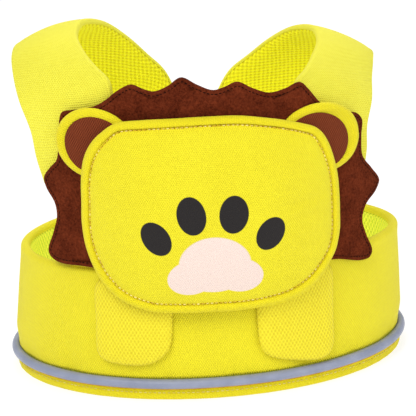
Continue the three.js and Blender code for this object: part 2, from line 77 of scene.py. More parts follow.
back = Vector((
    math.sin(camera_azimuth) * math.cos(camera_elevation),
    -math.cos(camera_azimuth) * math.cos(camera_elevation),
    math.sin(camera_elevation),
))
level_right = (-back).cross(Vector((0, 0, 1))).normalized()
level_up = level_right.cross(-back)
right = level_right * math.cos(camera_roll) + level_up * math.sin(camera_roll)
up = level_up * math.cos(camera_roll) - level_right * math.sin(camera_roll)
place = lens_point + back * camera_distance
aim = lens_point + (right * middle_off_lens_point[0] + up * middle_off_lens_point[1]) / PIXELS_PER_METRE
forward = (aim - place).normalized()
right = forward.cross(up).normalized()
up = right.cross(forward)

camera = put("camera", bpy.data.cameras.new("camera"))
camera.matrix_world = Matrix.Translation(place) @ Matrix((right, up, -forward)).transposed().to_4x4()
camera.data.sensor_width = 36
camera.data.lens = camera.data.sensor_width * PIXELS_PER_METRE * camera_distance / PICTURE_SIDE
camera.data.clip_start, camera.data.clip_end = 0.01, 20
bpy.context.scene.camera = camera
print("lens in mm", round(camera.data.lens, 1))

# %% [markdown]
# ## The body surface
# Every piece is sewn to a band round a small body, so the shapes are drawn flat, as a maker
# cuts them, and wrapped round that body: u runs along the band from the middle of its front,
# v runs up, and n is the height off the surface. This keeps each piece on its solid.

# %% Body surface
BAND_HALF_WIDTH, BAND_HALF_DEPTH, BAND_HEIGHT, BAND_FLARE = 105, 79, 70, 5
MEAN_RADIUS = (BAND_HALF_WIDTH + BAND_HALF_DEPTH) / 2
CREST_HEIGHT, PANEL_LEAN, SHOULDER_SLOPE = 190, 5, 0.09
HEM_HEIGHT, PIPING_DIAMETER, CLEARANCE = 6.6, 4.8, 0.3
WALL, CANVAS, CLOSING_GAP = 5.5, 1.5, 4
SIDE_FULLNESS, RIM_LEAN, FULLNESS_RISE = 1.9, 3.6, 12
PIPING_MIDDLE = HEM_HEIGHT + CLEARANCE + PIPING_DIAMETER / 2
PIPING_TOP = PIPING_MIDDLE + PIPING_DIAMETER / 2
SEAM_DROP = 34
HEM_CORNER = 1.2


def face_at(z):
    """Half width and half depth of the band's outer face at height z, in mm."""
    spread = BAND_FLARE * np.clip(1 - z / BAND_HEIGHT, 0, 1)
    rise = np.clip((z - BAND_HEIGHT) / (CREST_HEIGHT - BAND_HEIGHT), 0, 1)
    return BAND_HALF_WIDTH + spread, BAND_HALF_DEPTH + spread - PANEL_LEAN * rise


def angle_at(u):
    """The ellipse's angle at a length u along the band."""
    uneven = (BAND_HALF_WIDTH - BAND_HALF_DEPTH) / 4
    angle = u / MEAN_RADIUS
    for _ in range(8):
        angle = (u - uneven * np.sin(2 * angle)) / MEAN_RADIUS
    return angle


def smooth(value):
    """A soft step from 0 to 1."""
    value = np.clip(value, 0, 1)
    return value * value * (3 - 2 * value)


def fullness_at(angle, z):
    """How far the band's two sides stand out beyond the ellipse: its rim leans to the right."""
    full = smooth((z - PIPING_TOP) / FULLNESS_RISE)
    rise = np.clip((z - PIPING_TOP) / (BAND_HEIGHT - PIPING_TOP), 0, 1)
    above = smooth((z - BAND_HEIGHT) / SEAM_DROP)
    side = np.sin(angle)
    return side ** 8 * (1 - above) * (SIDE_FULLNESS * full * np.sign(side) + RIM_LEAN * rise)


def around(angle, z, n):
    """Points at an angle round the body, at height z and n off its face."""
    angle, z, n = np.broadcast_arrays(angle, z, np.asarray(n, float))
    a, b = face_at(z)
    across, ahead = np.sin(angle) / a, -np.cos(angle) / b
    length = np.hypot(across, ahead)
    x = a * np.sin(angle) + fullness_at(angle, z) + n * across / length
    return np.stack([x, -b * np.cos(angle) + n * ahead / length, z], -1)


def wrap(u, v, n):
    """Points at u along the band and v up it, n off its face."""
    return around(angle_at(np.asarray(u, float)), np.asarray(v, float), n)


MIDDLE_OF_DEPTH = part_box("hem_binding")[0].y / MM + face_at(HEM_CORNER)[1]


def settled(points):
    """What is above the band leans towards its lower shoulder, and the object is centred."""
    points = np.array(points, float)
    rise = np.maximum(0, (points[..., 2] - BAND_HEIGHT) / (CREST_HEIGHT - BAND_HEIGHT))
    points[..., 2] -= SHOULDER_SLOPE * rise * points[..., 0]
    points[..., 1] += MIDDLE_OF_DEPTH
    return points * MM


print("the body's middle is", round(float(MIDDLE_OF_DEPTH), 2), "mm behind the origin")

# %% [markdown]
# ## Laying a mesh
# Two kinds of mesh are enough. A skin is a row of rings, such as a strap's sections or the
# rings of a pad from its middle to its edge. A two-faced sheet is a grid with a front and a
# back. Both get a UV map in metres of cloth, so that a weave has one size on every piece.

# %% Mesh helpers
def lay(name, points, faces, cloth):
    """A closed mesh object from points in mm, faces, and a place on the cloth for each corner."""
    mesh = bpy.data.meshes.new(name)
    mesh.from_pydata(settled(points).tolist(), [], faces)
    mesh.uv_layers.new(name="cloth").data.foreach_set("uv", (np.asarray(cloth) * MM).ravel())
    obj = put(name, mesh)
    point_out(mesh)
    mesh.shade_smooth()
    return obj


def point_out(mesh):
    """Turns a closed mesh's faces outwards."""
    mesh.calc_loop_triangles()
    corners = np.empty(len(mesh.loop_triangles) * 3, np.int32)
    mesh.loop_triangles.foreach_get("vertices", corners)
    place = np.empty(len(mesh.vertices) * 3)
    mesh.vertices.foreach_get("co", place)
    a, b, c = place.reshape(-1, 3)[corners.reshape(-1, 3)].transpose(1, 0, 2)
    if (a * np.cross(b, c)).sum() < 0:
        mesh.flip_normals()


def pairs(first, second):
    """Two coordinates put together as flat points."""
    return np.stack(np.broadcast_arrays(first, second), -1)


def inward_of(line):
    """Unit normals of a closed anticlockwise line, towards its inside."""
    along = np.roll(line, -1, 0) - np.roll(line, 1, 0)
    return pairs(-along[:, 1], along[:, 0]) / np.linalg.norm(along, axis=1)[:, None]


def lengths_along(points):
    """Length from the first point to each point of a line, in the line's own unit."""
    return np.concatenate([[0], np.cumsum(np.linalg.norm(np.diff(points, axis=0), axis=-1))])


def skin(name, rings, flat=None, poles=None):
    """A closed skin through rings of equal count, with end faces, or with two poles."""
    rows, columns = rings.shape[:2]
    if flat is None:
        middle = rings[rows // 2]
        across = lengths_along(np.concatenate([middle, middle[:1]]))
        flat = pairs(lengths_along(rings.mean(1))[:, None], across[None, :])
    else:
        flat = np.concatenate([flat, flat[:, :1]], 1)
    row, column = np.meshgrid(np.arange(rows - 1), np.arange(columns), indexing="ij")
    beside = (column + 1) % columns
    quads = np.stack([row * columns + column, row * columns + beside,
                      (row + 1) * columns + beside, (row + 1) * columns + column], -1).reshape(-1, 4)
    cloth = np.stack([flat[row, column], flat[row, column + 1],
                      flat[row + 1, column + 1], flat[row + 1, column]], -2).reshape(-1, 2)
    faces, points = quads.tolist(), rings.reshape(-1, 3)
    last = (rows - 1) * columns
    if poles is None:
        faces += [list(range(columns))[::-1], list(range(last, last + columns))]
        cloth = np.concatenate([cloth, flat[0, :columns][::-1], flat[-1, :columns]])
        return lay(name, points, faces, cloth)
    extra = []
    for pole, (start, end, turned) in enumerate([(0, 0, True), (last, -1, False)]):
        top = len(points) + pole
        for i in range(columns):
            corner = [start + i, start + (i + 1) % columns, top]
            place = [flat[end, i], flat[end, i + 1], flat[end, :columns].mean(0)]
            faces.append(corner[::-1] if turned else corner)
            extra += place[::-1] if turned else place
    return lay(name, np.concatenate([points, poles]), faces, np.concatenate([cloth, extra]))


def plate(name, outline, middle, layers, height=None):
    """A pad on the body. Each layer is (reach, inset, n): reach is a share of the outline, inset a
    length in from it, and n a height or a function of u and v."""
    inward, middle = inward_of(outline), np.asarray(middle, float)
    rings, flats = [], []
    for reach, inset, n in layers:
        flat = middle + (outline + inward * inset - middle) * reach
        rings.append(wrap(flat[:, 0], flat[:, 1], n(flat[:, 0], flat[:, 1]) if callable(n) else n))
        flats.append(flat)
    poles = [wrap(*middle, n(*middle) if callable(n) else n) for n in (layers[0][2], layers[-1][2])]
    return skin(name, np.array(rings), np.array(flats), poles)


def spread_layers(shares, n):
    """Layers at shares of the outline, with one height or one function."""
    return [(share, 0, n) for share in shares]


def edge_layers(rows, height):
    """Layers near the outline, from rows of inset and height."""
    return [(1, inset, height(n)) for inset, n in rows]


def two_faced(name, front, behind, flat):
    """A sheet with thickness, from two grids of points that share their cloth."""
    rows, columns = front.shape[:2]
    count = rows * columns
    index = np.arange(count).reshape(rows, columns)
    quads = np.stack([index[:-1, :-1], index[:-1, 1:], index[1:, 1:], index[1:, :-1]], -1)
    quads = quads.reshape(-1, 4)
    rim = np.concatenate([index[0, :-1], index[:-1, -1], index[-1, :0:-1], index[:0:-1, 0]])
    sides = np.stack([rim, np.roll(rim, -1), np.roll(rim, -1) + count, rim + count], -1)
    faces = np.concatenate([quads, quads[:, ::-1] + count, sides[:, ::-1]])
    cloth = np.concatenate([flat.reshape(-1, 2)] * 2)[faces]
    points = np.concatenate([front.reshape(-1, 3), behind.reshape(-1, 3)])
    return lay(name, points, faces.tolist(), cloth)


def waves(seed, size, *places):
    """A smooth irregular field from -1 to 1 that changes over about size, in the places' unit."""
    draw = np.random.default_rng(seed)
    total = 0
    for _ in range(14):
        way = draw.normal(size=len(places))
        way *= draw.uniform(0.6, 1.5) * 2 * np.pi / (size * 2 * np.linalg.norm(way))
        total = total + np.sin(sum(w * p for w, p in zip(way, places)) + draw.uniform(0, 2 * np.pi))
    return total / 7


def sewn(obj, node, material):
    """Gives a piece its finish, hangs it under the root, and hides the solid it stands for, if one is
    given.
    """
    obj.data.materials.clear()
    obj.data.materials.append(material)
    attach(obj, "root")
    if node:
        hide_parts(node)
    print(obj.name, len(obj.data.polygons), "faces")
    return obj


# %% [markdown]
# ## Finishes
# All cloth here is seen by its texture. The canvas is a coarse plain weave, whose crossings
# look like rows of dots about a millimetre apart, each row half a dot aside. One node group
# draws such dots on the cloth's own UV map, and each finish gives it a size and colours.
# The colours are darker where the dots are low, which is painted shade between the crossings.

# %% Shader helpers
def calc(tree, operation, *values):
    """A Math node on sockets or numbers."""
    node = tree.nodes.new("ShaderNodeMath")
    node.operation = operation
    for socket, value in zip(node.inputs, values):
        if isinstance(value, (int, float)):
            socket.default_value = value
        else:
            tree.links.new(value, socket)
    return node.outputs[0]


def blend_colours(tree, share, low, high):
    """A colour between two, by a share that changes over the surface."""
    node = tree.nodes.new("ShaderNodeMix")
    node.data_type = "RGBA"
    tree.links.new(share, node.inputs[0])
    for socket, value in ((node.inputs[6], low), (node.inputs[7], high)):
        if isinstance(value, tuple):
            socket.default_value = (*value, 1)
        else:
            tree.links.new(value, socket)
    return node.outputs[2]


def grain(tree, where, size, detail=3.0, rough=0.55):
    """Noise that changes over a size in metres."""
    node = tree.nodes.new("ShaderNodeTexNoise")
    node.inputs["Scale"].default_value = 1 / size
    node.inputs["Detail"].default_value = detail
    node.inputs["Roughness"].default_value = rough
    tree.links.new(where, node.inputs["Vector"])
    return node.outputs[0]


def spread_out(tree, value, low, high):
    """The value's range from low to high made 0 to 1, and clamped."""
    node = tree.nodes.new("ShaderNodeMapRange")
    node.inputs["From Min"].default_value = low
    node.inputs["From Max"].default_value = high
    tree.links.new(value, node.inputs["Value"])
    return node.outputs[0]


def on_cloth(tree, turn=0.0):
    """The place on the cloth in metres, turned where a tape is cut on the bias."""
    place = tree.nodes.new("ShaderNodeUVMap")
    place.uv_map = "cloth"
    mapping = tree.nodes.new("ShaderNodeMapping")
    mapping.inputs["Rotation"].default_value[2] = turn
    tree.links.new(place.outputs[0], mapping.inputs[0])
    return mapping.outputs[0]


def on_object(tree):
    """The place on the object, in metres."""
    return tree.nodes.new("ShaderNodeTexCoord").outputs["Object"]


def coloured(tree, shader, share, low, high):
    """Gives a finish its colour, between two, by a share."""
    tree.links.new(blend_colours(tree, share, low, high), shader.inputs["Base Color"])


def relief(tree, shader, height, depth):
    """Gives a finish its fine relief, of a depth in metres."""
    node = tree.nodes.new("ShaderNodeBump")
    node.inputs["Strength"].default_value = 1
    node.inputs["Distance"].default_value = depth
    tree.links.new(height, node.inputs["Height"])
    tree.links.new(node.outputs[0], shader.inputs["Normal"])


def finish_named(name, roughness, sheen=0.0, sheen_colour=(1, 1, 1), specular=0.3):
    """A new material, its tree and its shader."""
    material = bpy.data.materials.new(name)
    material.use_nodes = True
    shader = material.node_tree.nodes["Principled BSDF"]
    shader.inputs["Roughness"].default_value = roughness
    shader.inputs["Specular IOR Level"].default_value = specular
    shader.inputs["Sheen Weight"].default_value = sheen
    shader.inputs["Sheen Roughness"].default_value = 0.5
    shader.inputs["Sheen Tint"].default_value = (*sheen_colour, 1)
    return material, material.node_tree, shader


def dots_group():
    """Rows of dots, each row half a dot aside from the last: the crossings of a weave."""
    tree = bpy.data.node_groups.new("woven_dots", "ShaderNodeTree")
    for name, kind in (("Cloth", "Vector"), ("Dot pitch", "Float"), ("Row pitch", "Float")):
        tree.interface.new_socket(name, in_out="INPUT", socket_type="NodeSocket" + kind)
    tree.interface.new_socket("Height", in_out="OUTPUT", socket_type="NodeSocketFloat")
    given, made = tree.nodes.new("NodeGroupInput"), tree.nodes.new("NodeGroupOutput")
    parts = tree.nodes.new("ShaderNodeSeparateXYZ")
    tree.links.new(given.outputs["Cloth"], parts.inputs[0])
    turns = []
    for axis, pitch, repeats in ((0, "Dot pitch", 1), (1, "Row pitch", 0.5)):
        steps = calc(tree, "DIVIDE", parts.outputs[axis], given.outputs[pitch])
        turns.append(calc(tree, "COSINE", calc(tree, "MULTIPLY", steps, 2 * math.pi * repeats)))
    crossing = calc(tree, "MULTIPLY", turns[0], turns[1])
    tree.links.new(calc(tree, "MULTIPLY_ADD", crossing, 0.5, 0.5), made.inputs[0])
    return tree


DOTS = dots_group()


def dots(tree, cloth, dot_pitch, row_pitch):
    """The height of a weave's dots, whose pitches are in metres."""
    node = tree.nodes.new("ShaderNodeGroup")
    node.node_tree = DOTS
    node.inputs["Dot pitch"].default_value = dot_pitch
    node.inputs["Row pitch"].default_value = row_pitch
    tree.links.new(cloth, node.inputs["Cloth"])
    return node.outputs[0]


# %% Canvas, mesh, felt, twill, piping, webbing and thread
CANVAS_BRIGHT, CANVAS_DEEP = (0.99, 0.89, 0.016), (0.76, 0.63, 0.005)


def canvas_finish(name, dot_pitch, row_pitch, turn=0.0, bright=CANVAS_BRIGHT, deep=CANVAS_DEEP):
    """Woven polyester canvas: dotted, matt, with uneven yarns and a slow change of shade."""
    material, tree, shader = finish_named(name, 0.72, sheen=0.12, sheen_colour=(1, 0.97, 0.6))
    cloth = on_cloth(tree, turn)
    weave = dots(tree, cloth, dot_pitch, row_pitch)
    uneven = grain(tree, cloth, 0.0028, 3.0, 0.6)
    height = calc(tree, "MULTIPLY_ADD", uneven, 0.5, weave)
    slow = spread_out(tree, grain(tree, on_object(tree), 0.03, 2.0), 0.35, 0.65)
    shade = calc(tree, "MULTIPLY_ADD", slow, 0.10, calc(tree, "MULTIPLY", height, 0.72))
    # darker where the weave is low, which is painted shade between the crossings, mixed with the yarns'
    # uneven tone and a slow random change of tone
    coloured(tree, shader, spread_out(tree, shade, 0.08, 0.80), deep, bright)
    relief(tree, shader, height, 0.00038)
    return material, tree, shader, cloth


canvas_plain = canvas_finish("canvas_plain", 0.00125, 0.00105)[0]
canvas_strap = canvas_finish("canvas_strap", 0.0012, 0.0010,
                             bright=(1.0, 0.95, 0.07), deep=(0.86, 0.76, 0.018))[0]
canvas_tab = canvas_finish("canvas_tab", 0.0019, 0.0016,
                           bright=(0.96, 0.84, 0.03), deep=(0.74, 0.58, 0.006))[0]
canvas_bias = canvas_finish("canvas_bias", 0.0010, 0.0009, turn=math.radians(40),
                            bright=(0.99, 0.86, 0.006))[0]


def spacer_finish(name, bright, deep, cell, painted_glow):
    """Knitted spacer mesh: soft raised cells over holes darkened as painted shade, and a painted glow:
    emission that stands in for light coming through the knit.
    """
    material, tree, shader = finish_named(name, 0.7, sheen=0.1, sheen_colour=(1, 1, 0.5))
    cloth = on_cloth(tree)
    cells = spread_out(tree, dots(tree, cloth, *(side * MM for side in cell)), 0.14, 0.72)
    threads = grain(tree, cloth, 0.0004, 2.0)
    shade = calc(tree, "MULTIPLY_ADD", threads, 0.42, calc(tree, "MULTIPLY", cells, 0.74))
    # darker in the holes between the cells, which is painted shade, with the threads' random tone
    coloured(tree, shader, shade, deep, bright)
    relief(tree, shader, calc(tree, "MULTIPLY_ADD", threads, 0.4, cells), 0.0004)
    # painted glow: the mesh emits its bright colour, though it is no lamp
    shader.inputs["Emission Color"].default_value = (*bright, 1)
    shader.inputs["Emission Strength"].default_value = painted_glow
    return material


# a cell's width and the pitch of its rows, in mm
STRAP_CELL, BAND_CELL = (2.9, 2.1), (3.1, 2.2)
mesh_strap = spacer_finish("mesh_strap", (1.0, 0.95, 0.008), (0.70, 0.60, 0.001), STRAP_CELL, 0.07)
# the band's copy is the same mesh tinted greener, as painted shade for the shaded inside of the band and
# panel, and it glows more, as painted light
mesh_band_shaded = spacer_finish("mesh_band_shaded", (0.98, 1.0, 0.09), (0.46, 0.60, 0.006), BAND_CELL, 0.14)


def felt_finish():
    """Pressed wool felt: short fibres in every direction, rubbed lighter here and there."""
    material, tree, shader = finish_named("felt_brown", 1.0, 0.06, (1, 0.3, 0.12), specular=0.02)
    place = on_object(tree)
    fibres = grain(tree, place, 0.0013, 6.0, 0.75)
    rubbed = spread_out(tree, grain(tree, place, 0.009, 4.0), 0.36, 0.68)
    shade = calc(tree, "MULTIPLY_ADD", rubbed, 0.14, calc(tree, "MULTIPLY", fibres, 0.95))
    coloured(tree, shader, spread_out(tree, shade, 0.35, 0.78), (0.055, 0.008, 0.003),
             (0.245, 0.045, 0.016))
    relief(tree, shader, fibres, 0.0011)
    return material


def twill_finish():
    """Fine brown twill, whose weave lies a little askew."""
    material, tree, shader = finish_named("twill_brown", 0.85, 0.03, (1, 0.5, 0.3), specular=0.1)
    cloth = on_cloth(tree, math.radians(8))
    weave = dots(tree, cloth, 0.0012, 0.0011)
    height = calc(tree, "MULTIPLY_ADD", grain(tree, cloth, 0.002, 2.0), 0.3, weave)
    # darker where the weave is low, which is painted shade between the crossings, with random tone
    coloured(tree, shader, spread_out(tree, height, 0.1, 1.2), (0.095, 0.014, 0.005),
             (0.27, 0.060, 0.020))
    relief(tree, shader, height, 0.00025)
    return material


def piping_finish():
    """Reflective tape: fine glass beads on grey, worn a little duller in patches."""
    material, tree, shader = finish_named("reflective_grey", 0.42, specular=0.5)
    place = on_object(tree)
    beads = grain(tree, place, 0.0006, 3.0, 0.7)
    worn = spread_out(tree, grain(tree, place, 0.012, 2.0), 0.35, 0.7)
    shade = calc(tree, "MULTIPLY_ADD", worn, 0.5, calc(tree, "MULTIPLY", beads, 0.5))
    coloured(tree, shader, shade, (0.22, 0.25, 0.36), (0.36, 0.39, 0.52))
    relief(tree, shader, beads, 0.00008)
    return material


def webbing_finish():
    """Woven webbing: ribs across the strap, each a row of tight dots."""
    material, tree, shader = finish_named("webbing_black", 0.75, sheen=0.25)
    cloth = on_cloth(tree)
    weave = dots(tree, cloth, 0.0018, 0.0014)
    height = calc(tree, "MULTIPLY_ADD", grain(tree, cloth, 0.001, 2.0), 0.3, weave)
    # darker between the weave's dots, which is painted shade, with random tone
    coloured(tree, shader, height, (0.006, 0.006, 0.007), (0.035, 0.033, 0.034))
    relief(tree, shader, height, 0.0003)
    return material


def clasp_finish():
    """Moulded plastic with a fine spark-eroded grain and slightly brighter rubbed patches."""
    material, tree, shader = finish_named("clasp_black", 0.42, specular=0.5)
    place = on_object(tree)
    rubbed = spread_out(tree, grain(tree, place, 0.006, 3.0), 0.4, 0.7)
    coloured(tree, shader, rubbed, (0.010, 0.010, 0.011), (0.022, 0.022, 0.024))
    tree.links.new(calc(tree, "MULTIPLY_ADD", rubbed, 0.12, 0.36), shader.inputs["Roughness"])
    relief(tree, shader, grain(tree, place, 0.0004, 3.0), 0.00006)
    return material


def thread_finish(name, bright, deep):
    """Twisted thread, whose shade changes from stitch to stitch."""
    material, tree, shader = finish_named(name, 0.85, specular=0.05)
    change = spread_out(tree, grain(tree, on_object(tree), 0.004, 2.0), 0.38, 0.62)
    coloured(tree, shader, change, deep, bright)
    return material


felt_brown, twill_brown, reflective_grey = felt_finish(), twill_finish(), piping_finish()
webbing_black, clasp_black = webbing_finish(), clasp_finish()
thread_cream = thread_finish("thread_cream", (0.98, 0.84, 0.32), (0.66, 0.42, 0.03))
thread_hem = thread_finish("thread_hem", (0.90, 0.82, 0.30), (0.78, 0.62, 0.08))
thread_dark = thread_finish("thread_dark", (0.022, 0.005, 0.003), (0.008, 0.003, 0.002))
# painted shade for the needle holes between the flap's stitches, made as a thread finish
hole_shade_ochre = thread_finish("hole_shade_ochre", (0.50, 0.27, 0.012), (0.34, 0.16, 0.008))
thread_gold = thread_finish("thread_gold", (0.80, 0.42, 0.02), (0.62, 0.28, 0.01))
print("finishes made:", len(bpy.data.materials))

# %% [markdown]
# ## Chest band
# The band is canvas over foam, turned over at its rim. A plain tube would look stiff, so its
# face carries slow hollows, and short creases rise from the hem where the piping draws it in.

# %% Chest band
ROUND_STEPS = 720
band_end = math.pi - angle_at(CLOSING_GAP / 2)
turn = np.linspace(-band_end, band_end, ROUND_STEPS + 1)
COVER_FOOT = PIPING_TOP + CLEARANCE
# each crease: its place along the band, its width, its depth and the height it fades at
CREASES = (
    (7, 3.2, 0.75, 36), (14, 4, 0.5, 32), (40, 4.5, 0.8, 38), (70, 6, 0.6, 45),
    (-74, 6, 0.6, 42), (104, 8, 0.5, 50), (-110, 9, 0.5, 50), (-24, 5, 0.35, 28),
)


def band_hollows(angle, z):
    """How far the cover's face lies inside its solid's face, in mm."""
    u = angle * MEAN_RADIUS
    depth = 0.35 + 0.28 * waves(3, 45, u, z * 1.3)
    for middle, width, deep, top in CREASES:
        fade = smooth((top - z) / (top - COVER_FOOT))
        depth = depth + deep * fade * np.exp(-((u - middle + 0.12 * (z - COVER_FOOT)) / width) ** 2)
    return np.clip(depth, 0.02, 1.15)


def arc(across, up, radius, start, end, steps):
    """Points of an arc, from one angle to another in quarter turns."""
    quarter = np.linspace(start, end, steps + 1) * math.pi / 2
    return pairs(across + radius * np.cos(quarter), up + radius * np.sin(quarter))


def section_of(*runs):
    """A closed section from runs of points."""
    return np.concatenate([np.atleast_2d(run) for run in runs])


def straight(start, end, steps):
    """Points of a straight run."""
    return np.linspace(start, end, steps + 1)


def columns(section):
    """A section's two coordinates, each as a row."""
    return section[None, :, 0], section[None, :, 1]


rim = WALL / 2
cover_section = section_of(
    straight((0, COVER_FOOT), (0, BAND_HEIGHT - rim), 44),
    arc(-rim, BAND_HEIGHT - rim, rim, 0, 2, 12)[1:],
    arc(-WALL + 0.3, BAND_HEIGHT - rim - 0.5, 0.3, 2, 3, 3),
    [(-CANVAS, BAND_HEIGHT - rim - 0.8)],
    straight((-CANVAS, BAND_HEIGHT - rim - 2), (-CANVAS, COVER_FOOT), 8),
)
n, z = columns(cover_section)
around_band = turn[:, None] * MEAN_RADIUS
outer = np.clip(1 + n / CANVAS, 0, 1)
hollow = band_hollows(turn[:, None], z) * outer * smooth((BAND_HEIGHT + 1 - z) / 10)
rim_wave = 0.35 * waves(5, 38, around_band, z * 0) * smooth((z - 50) / 20)
cover = skin("band_canvas", around(turn[:, None], z + rim_wave * (n > -WALL - 1), n - hollow))
sewn(cover, "band_cover", canvas_plain)

# %% [markdown]
# ## Hem tape and piping
# The tape is folded over the raw edge and the band stands on it. The piping is one round cord
# that follows the hem, so Geometry Nodes sweep a circle along its path.

# %% Hem tape
HEM_WALL, HEM_STITCH = 5, 4.1
hem_section = section_of(
    arc(-HEM_CORNER, HEM_CORNER, HEM_CORNER, -1, 0, 5),
    straight((0, 2.2), (0, HEM_HEIGHT - 1), 8),
    arc(-0.5, HEM_HEIGHT - 0.5, 0.5, 0, 1, 3),
    arc(-HEM_WALL + 0.5, HEM_HEIGHT - 0.5, 0.5, 1, 2, 3),
    straight((-HEM_WALL, HEM_HEIGHT - 1), (-HEM_WALL, 2.2), 6),
    arc(-HEM_WALL + HEM_CORNER, HEM_CORNER, HEM_CORNER, 2, 3, 5),
)
n, z = columns(hem_section)
pucker = 0.12 * waves(11, 5, around_band, z * 2) + 0.15 * waves(12, 30, around_band, z)
stitch_dent = 0.35 * np.exp(-((z - HEM_STITCH) / 0.7) ** 2) * (n > -1)
hem = skin("hem_tape", around(turn[:, None], z, n - 0.15 - stitch_dent + pucker * (n > -1)))
sewn(hem, "hem_binding", canvas_bias)


# %% Piping
def new_tree(name, inputs):
    """A Geometry Nodes tree with named inputs, and its first and last node."""
    tree = bpy.data.node_groups.new(name, "GeometryNodeTree")
    tree.interface.new_socket("Path", in_out="INPUT", socket_type="NodeSocketGeometry")
    for label, kind in inputs:
        tree.interface.new_socket(label, in_out="INPUT", socket_type="NodeSocket" + kind)
    tree.interface.new_socket("Made", in_out="OUTPUT", socket_type="NodeSocketGeometry")
    return tree, tree.nodes.new("NodeGroupInput"), tree.nodes.new("NodeGroupOutput")


def grown(name, tree, path, values, outward=None, closed=False):
    """Runs a tree on a path and keeps its result as a plain mesh."""
    mesh = bpy.data.meshes.new(name + "_path")
    count = len(path)
    edges = [(i, (i + 1) % count) for i in range(count if closed else count - 1)]
    mesh.from_pydata(np.asarray(path).tolist(), edges, [])
    if outward is not None:
        mesh.attributes.new("outward", "FLOAT_VECTOR", "POINT").data.foreach_set(
            "vector", np.asarray(outward, np.float32).ravel())
    holder = put(name + "_path", mesh)
    modifier = holder.modifiers.new("grow", "NODES")
    modifier.node_group = tree
    named = {s.name: s.identifier for s in tree.interface.items_tree if s.in_out == "INPUT"}
    for label, value in values.items():
        modifier[named[label]] = value
    graph = bpy.context.evaluated_depsgraph_get()
    made = bpy.data.meshes.new_from_object(holder.evaluated_get(graph))
    made.name = name
    bpy.data.objects.remove(holder)
    return put(name, made)


def cord_tree():
    """A circle swept along the path."""
    inputs = [("Radius", "Float"), ("Sides", "Int"), ("Finish", "Material")]
    tree, given, made = new_tree("piping_cord", inputs)
    curve = tree.nodes.new("GeometryNodeMeshToCurve")
    profile = tree.nodes.new("GeometryNodeCurvePrimitiveCircle")
    sweep = tree.nodes.new("GeometryNodeCurveToMesh")
    sweep.inputs["Fill Caps"].default_value = True
    paint = tree.nodes.new("GeometryNodeSetMaterial")
    realize = tree.nodes.new("GeometryNodeRealizeInstances")
    for start, end in (
        (given.outputs["Path"], curve.inputs[0]),
        (given.outputs["Sides"], profile.inputs["Resolution"]),
        (given.outputs["Radius"], profile.inputs["Radius"]),
        (curve.outputs[0], sweep.inputs["Curve"]),
        (profile.outputs[0], sweep.inputs["Profile Curve"]),
        (sweep.outputs[0], realize.inputs[0]),
        (realize.outputs[0], paint.inputs["Geometry"]),
        (given.outputs["Finish"], paint.inputs["Material"]),
        (paint.outputs[0], made.inputs[0]),
    ):
        tree.links.new(start, end)
    return tree


CORD = cord_tree()


def cord(name, path, radius, sides, finish):
    """A round cord on a path, all in mm."""
    values = {"Radius": radius * MM, "Sides": sides, "Finish": finish}
    obj = grown(name, CORD, settled(path), values)
    point_out(obj.data)
    obj.data.shade_smooth()
    return obj


sag = 0.12 * waves(21, 26, turn * MEAN_RADIUS, turn * 0)
piping_path = around(turn, PIPING_MIDDLE + sag, PIPING_DIAMETER / 2 - CANVAS + 0.5 * sag)
piping = cord("piping_cord", piping_path, PIPING_DIAMETER / 2 + 0.25, 20, reflective_grey)
sewn(piping, "reflective_piping", reflective_grey)

# a thin gold edge where the tape is turned under the piping
edge_path = around(turn, HEM_HEIGHT + 0.15 + 0.5 * sag, 1.35)
sewn(cord("piping_edge", edge_path, 0.42, 8, thread_gold), None, thread_gold)

# %% [markdown]
# ## Band lining
# The inside is spacer mesh, a springy knit with raised cells in offset rows. Its cells are real
# bumps in the mesh here, because they catch the light at the rim and from behind.

# %% Band lining
LINING_GAP, TURNED_EDGE, SWELL = 0.9, 2.6, 0.8


def cells(u, v, cell):
    """Raised cells from 0 to 1 on the cloth, in rows that are half a cell aside."""
    across, rows = cell
    wave = np.cos(2 * math.pi * u / across) * np.cos(math.pi * v / rows)
    return smooth(0.5 + 0.6 * wave)


LINING_STEPS, LINING_ROWS, LINING_RADIUS = 880, 84, 86
lining_turn = np.linspace(-band_end, band_end, LINING_STEPS + 1)[:, None]
lining_foot, lining_top = HEM_HEIGHT + CLEARANCE, BAND_HEIGHT - TURNED_EDGE - CLEARANCE - 0.6
inner_line = np.linspace(lining_foot + 0.8, lining_top - 0.8, LINING_ROWS)
swelling = (SWELL + 0.4) * np.sin(math.pi * np.linspace(0, 1, LINING_ROWS)) ** 0.6
lining_section = section_of(
    [(-CANVAS - 0.5, lining_foot), (-CANVAS - 0.5, lining_top)],
    pairs(-(WALL - 0.5 + swelling), inner_line)[::-1],
)
n, z = columns(lining_section)
inner_length = lining_turn * LINING_RADIUS
raised = 0.55 * cells(inner_length, z, BAND_CELL) * (n < -3)
lining_rings = around(lining_turn, z, n - raised + 0.25 * waves(31, 40, inner_length, z))
lining = skin("band_mesh", lining_rings, pairs(inner_length, z))
sewn(lining, "band_lining", mesh_band_shaded)

# %% [markdown]
# ## Back panel
# The panel behind the flap is canvas outside and mesh inside. Its upper edge falls away to both
# sides along the strap seams, so a grid is drawn up to that edge.

# %% Back panel
PANEL_HALF_WIDTH, PANEL_TOP, SEAM_INNER, SEAM_OUTER, NECKLINE_DIP = 82, 150, 47, 86, 4.4
panel_foot = BAND_HEIGHT + CLEARANCE


def panel_top_at(u):
    """Height of the panel's upper edge: a shallow neckline, then the two strap seams."""
    out = np.abs(u)
    neckline = PANEL_TOP - NECKLINE_DIP * (1 - np.clip(out / SEAM_INNER, 0, 1) ** 2)
    return neckline - SEAM_DROP * np.clip((out - SEAM_INNER) / (SEAM_OUTER - SEAM_INNER), 0, 1)


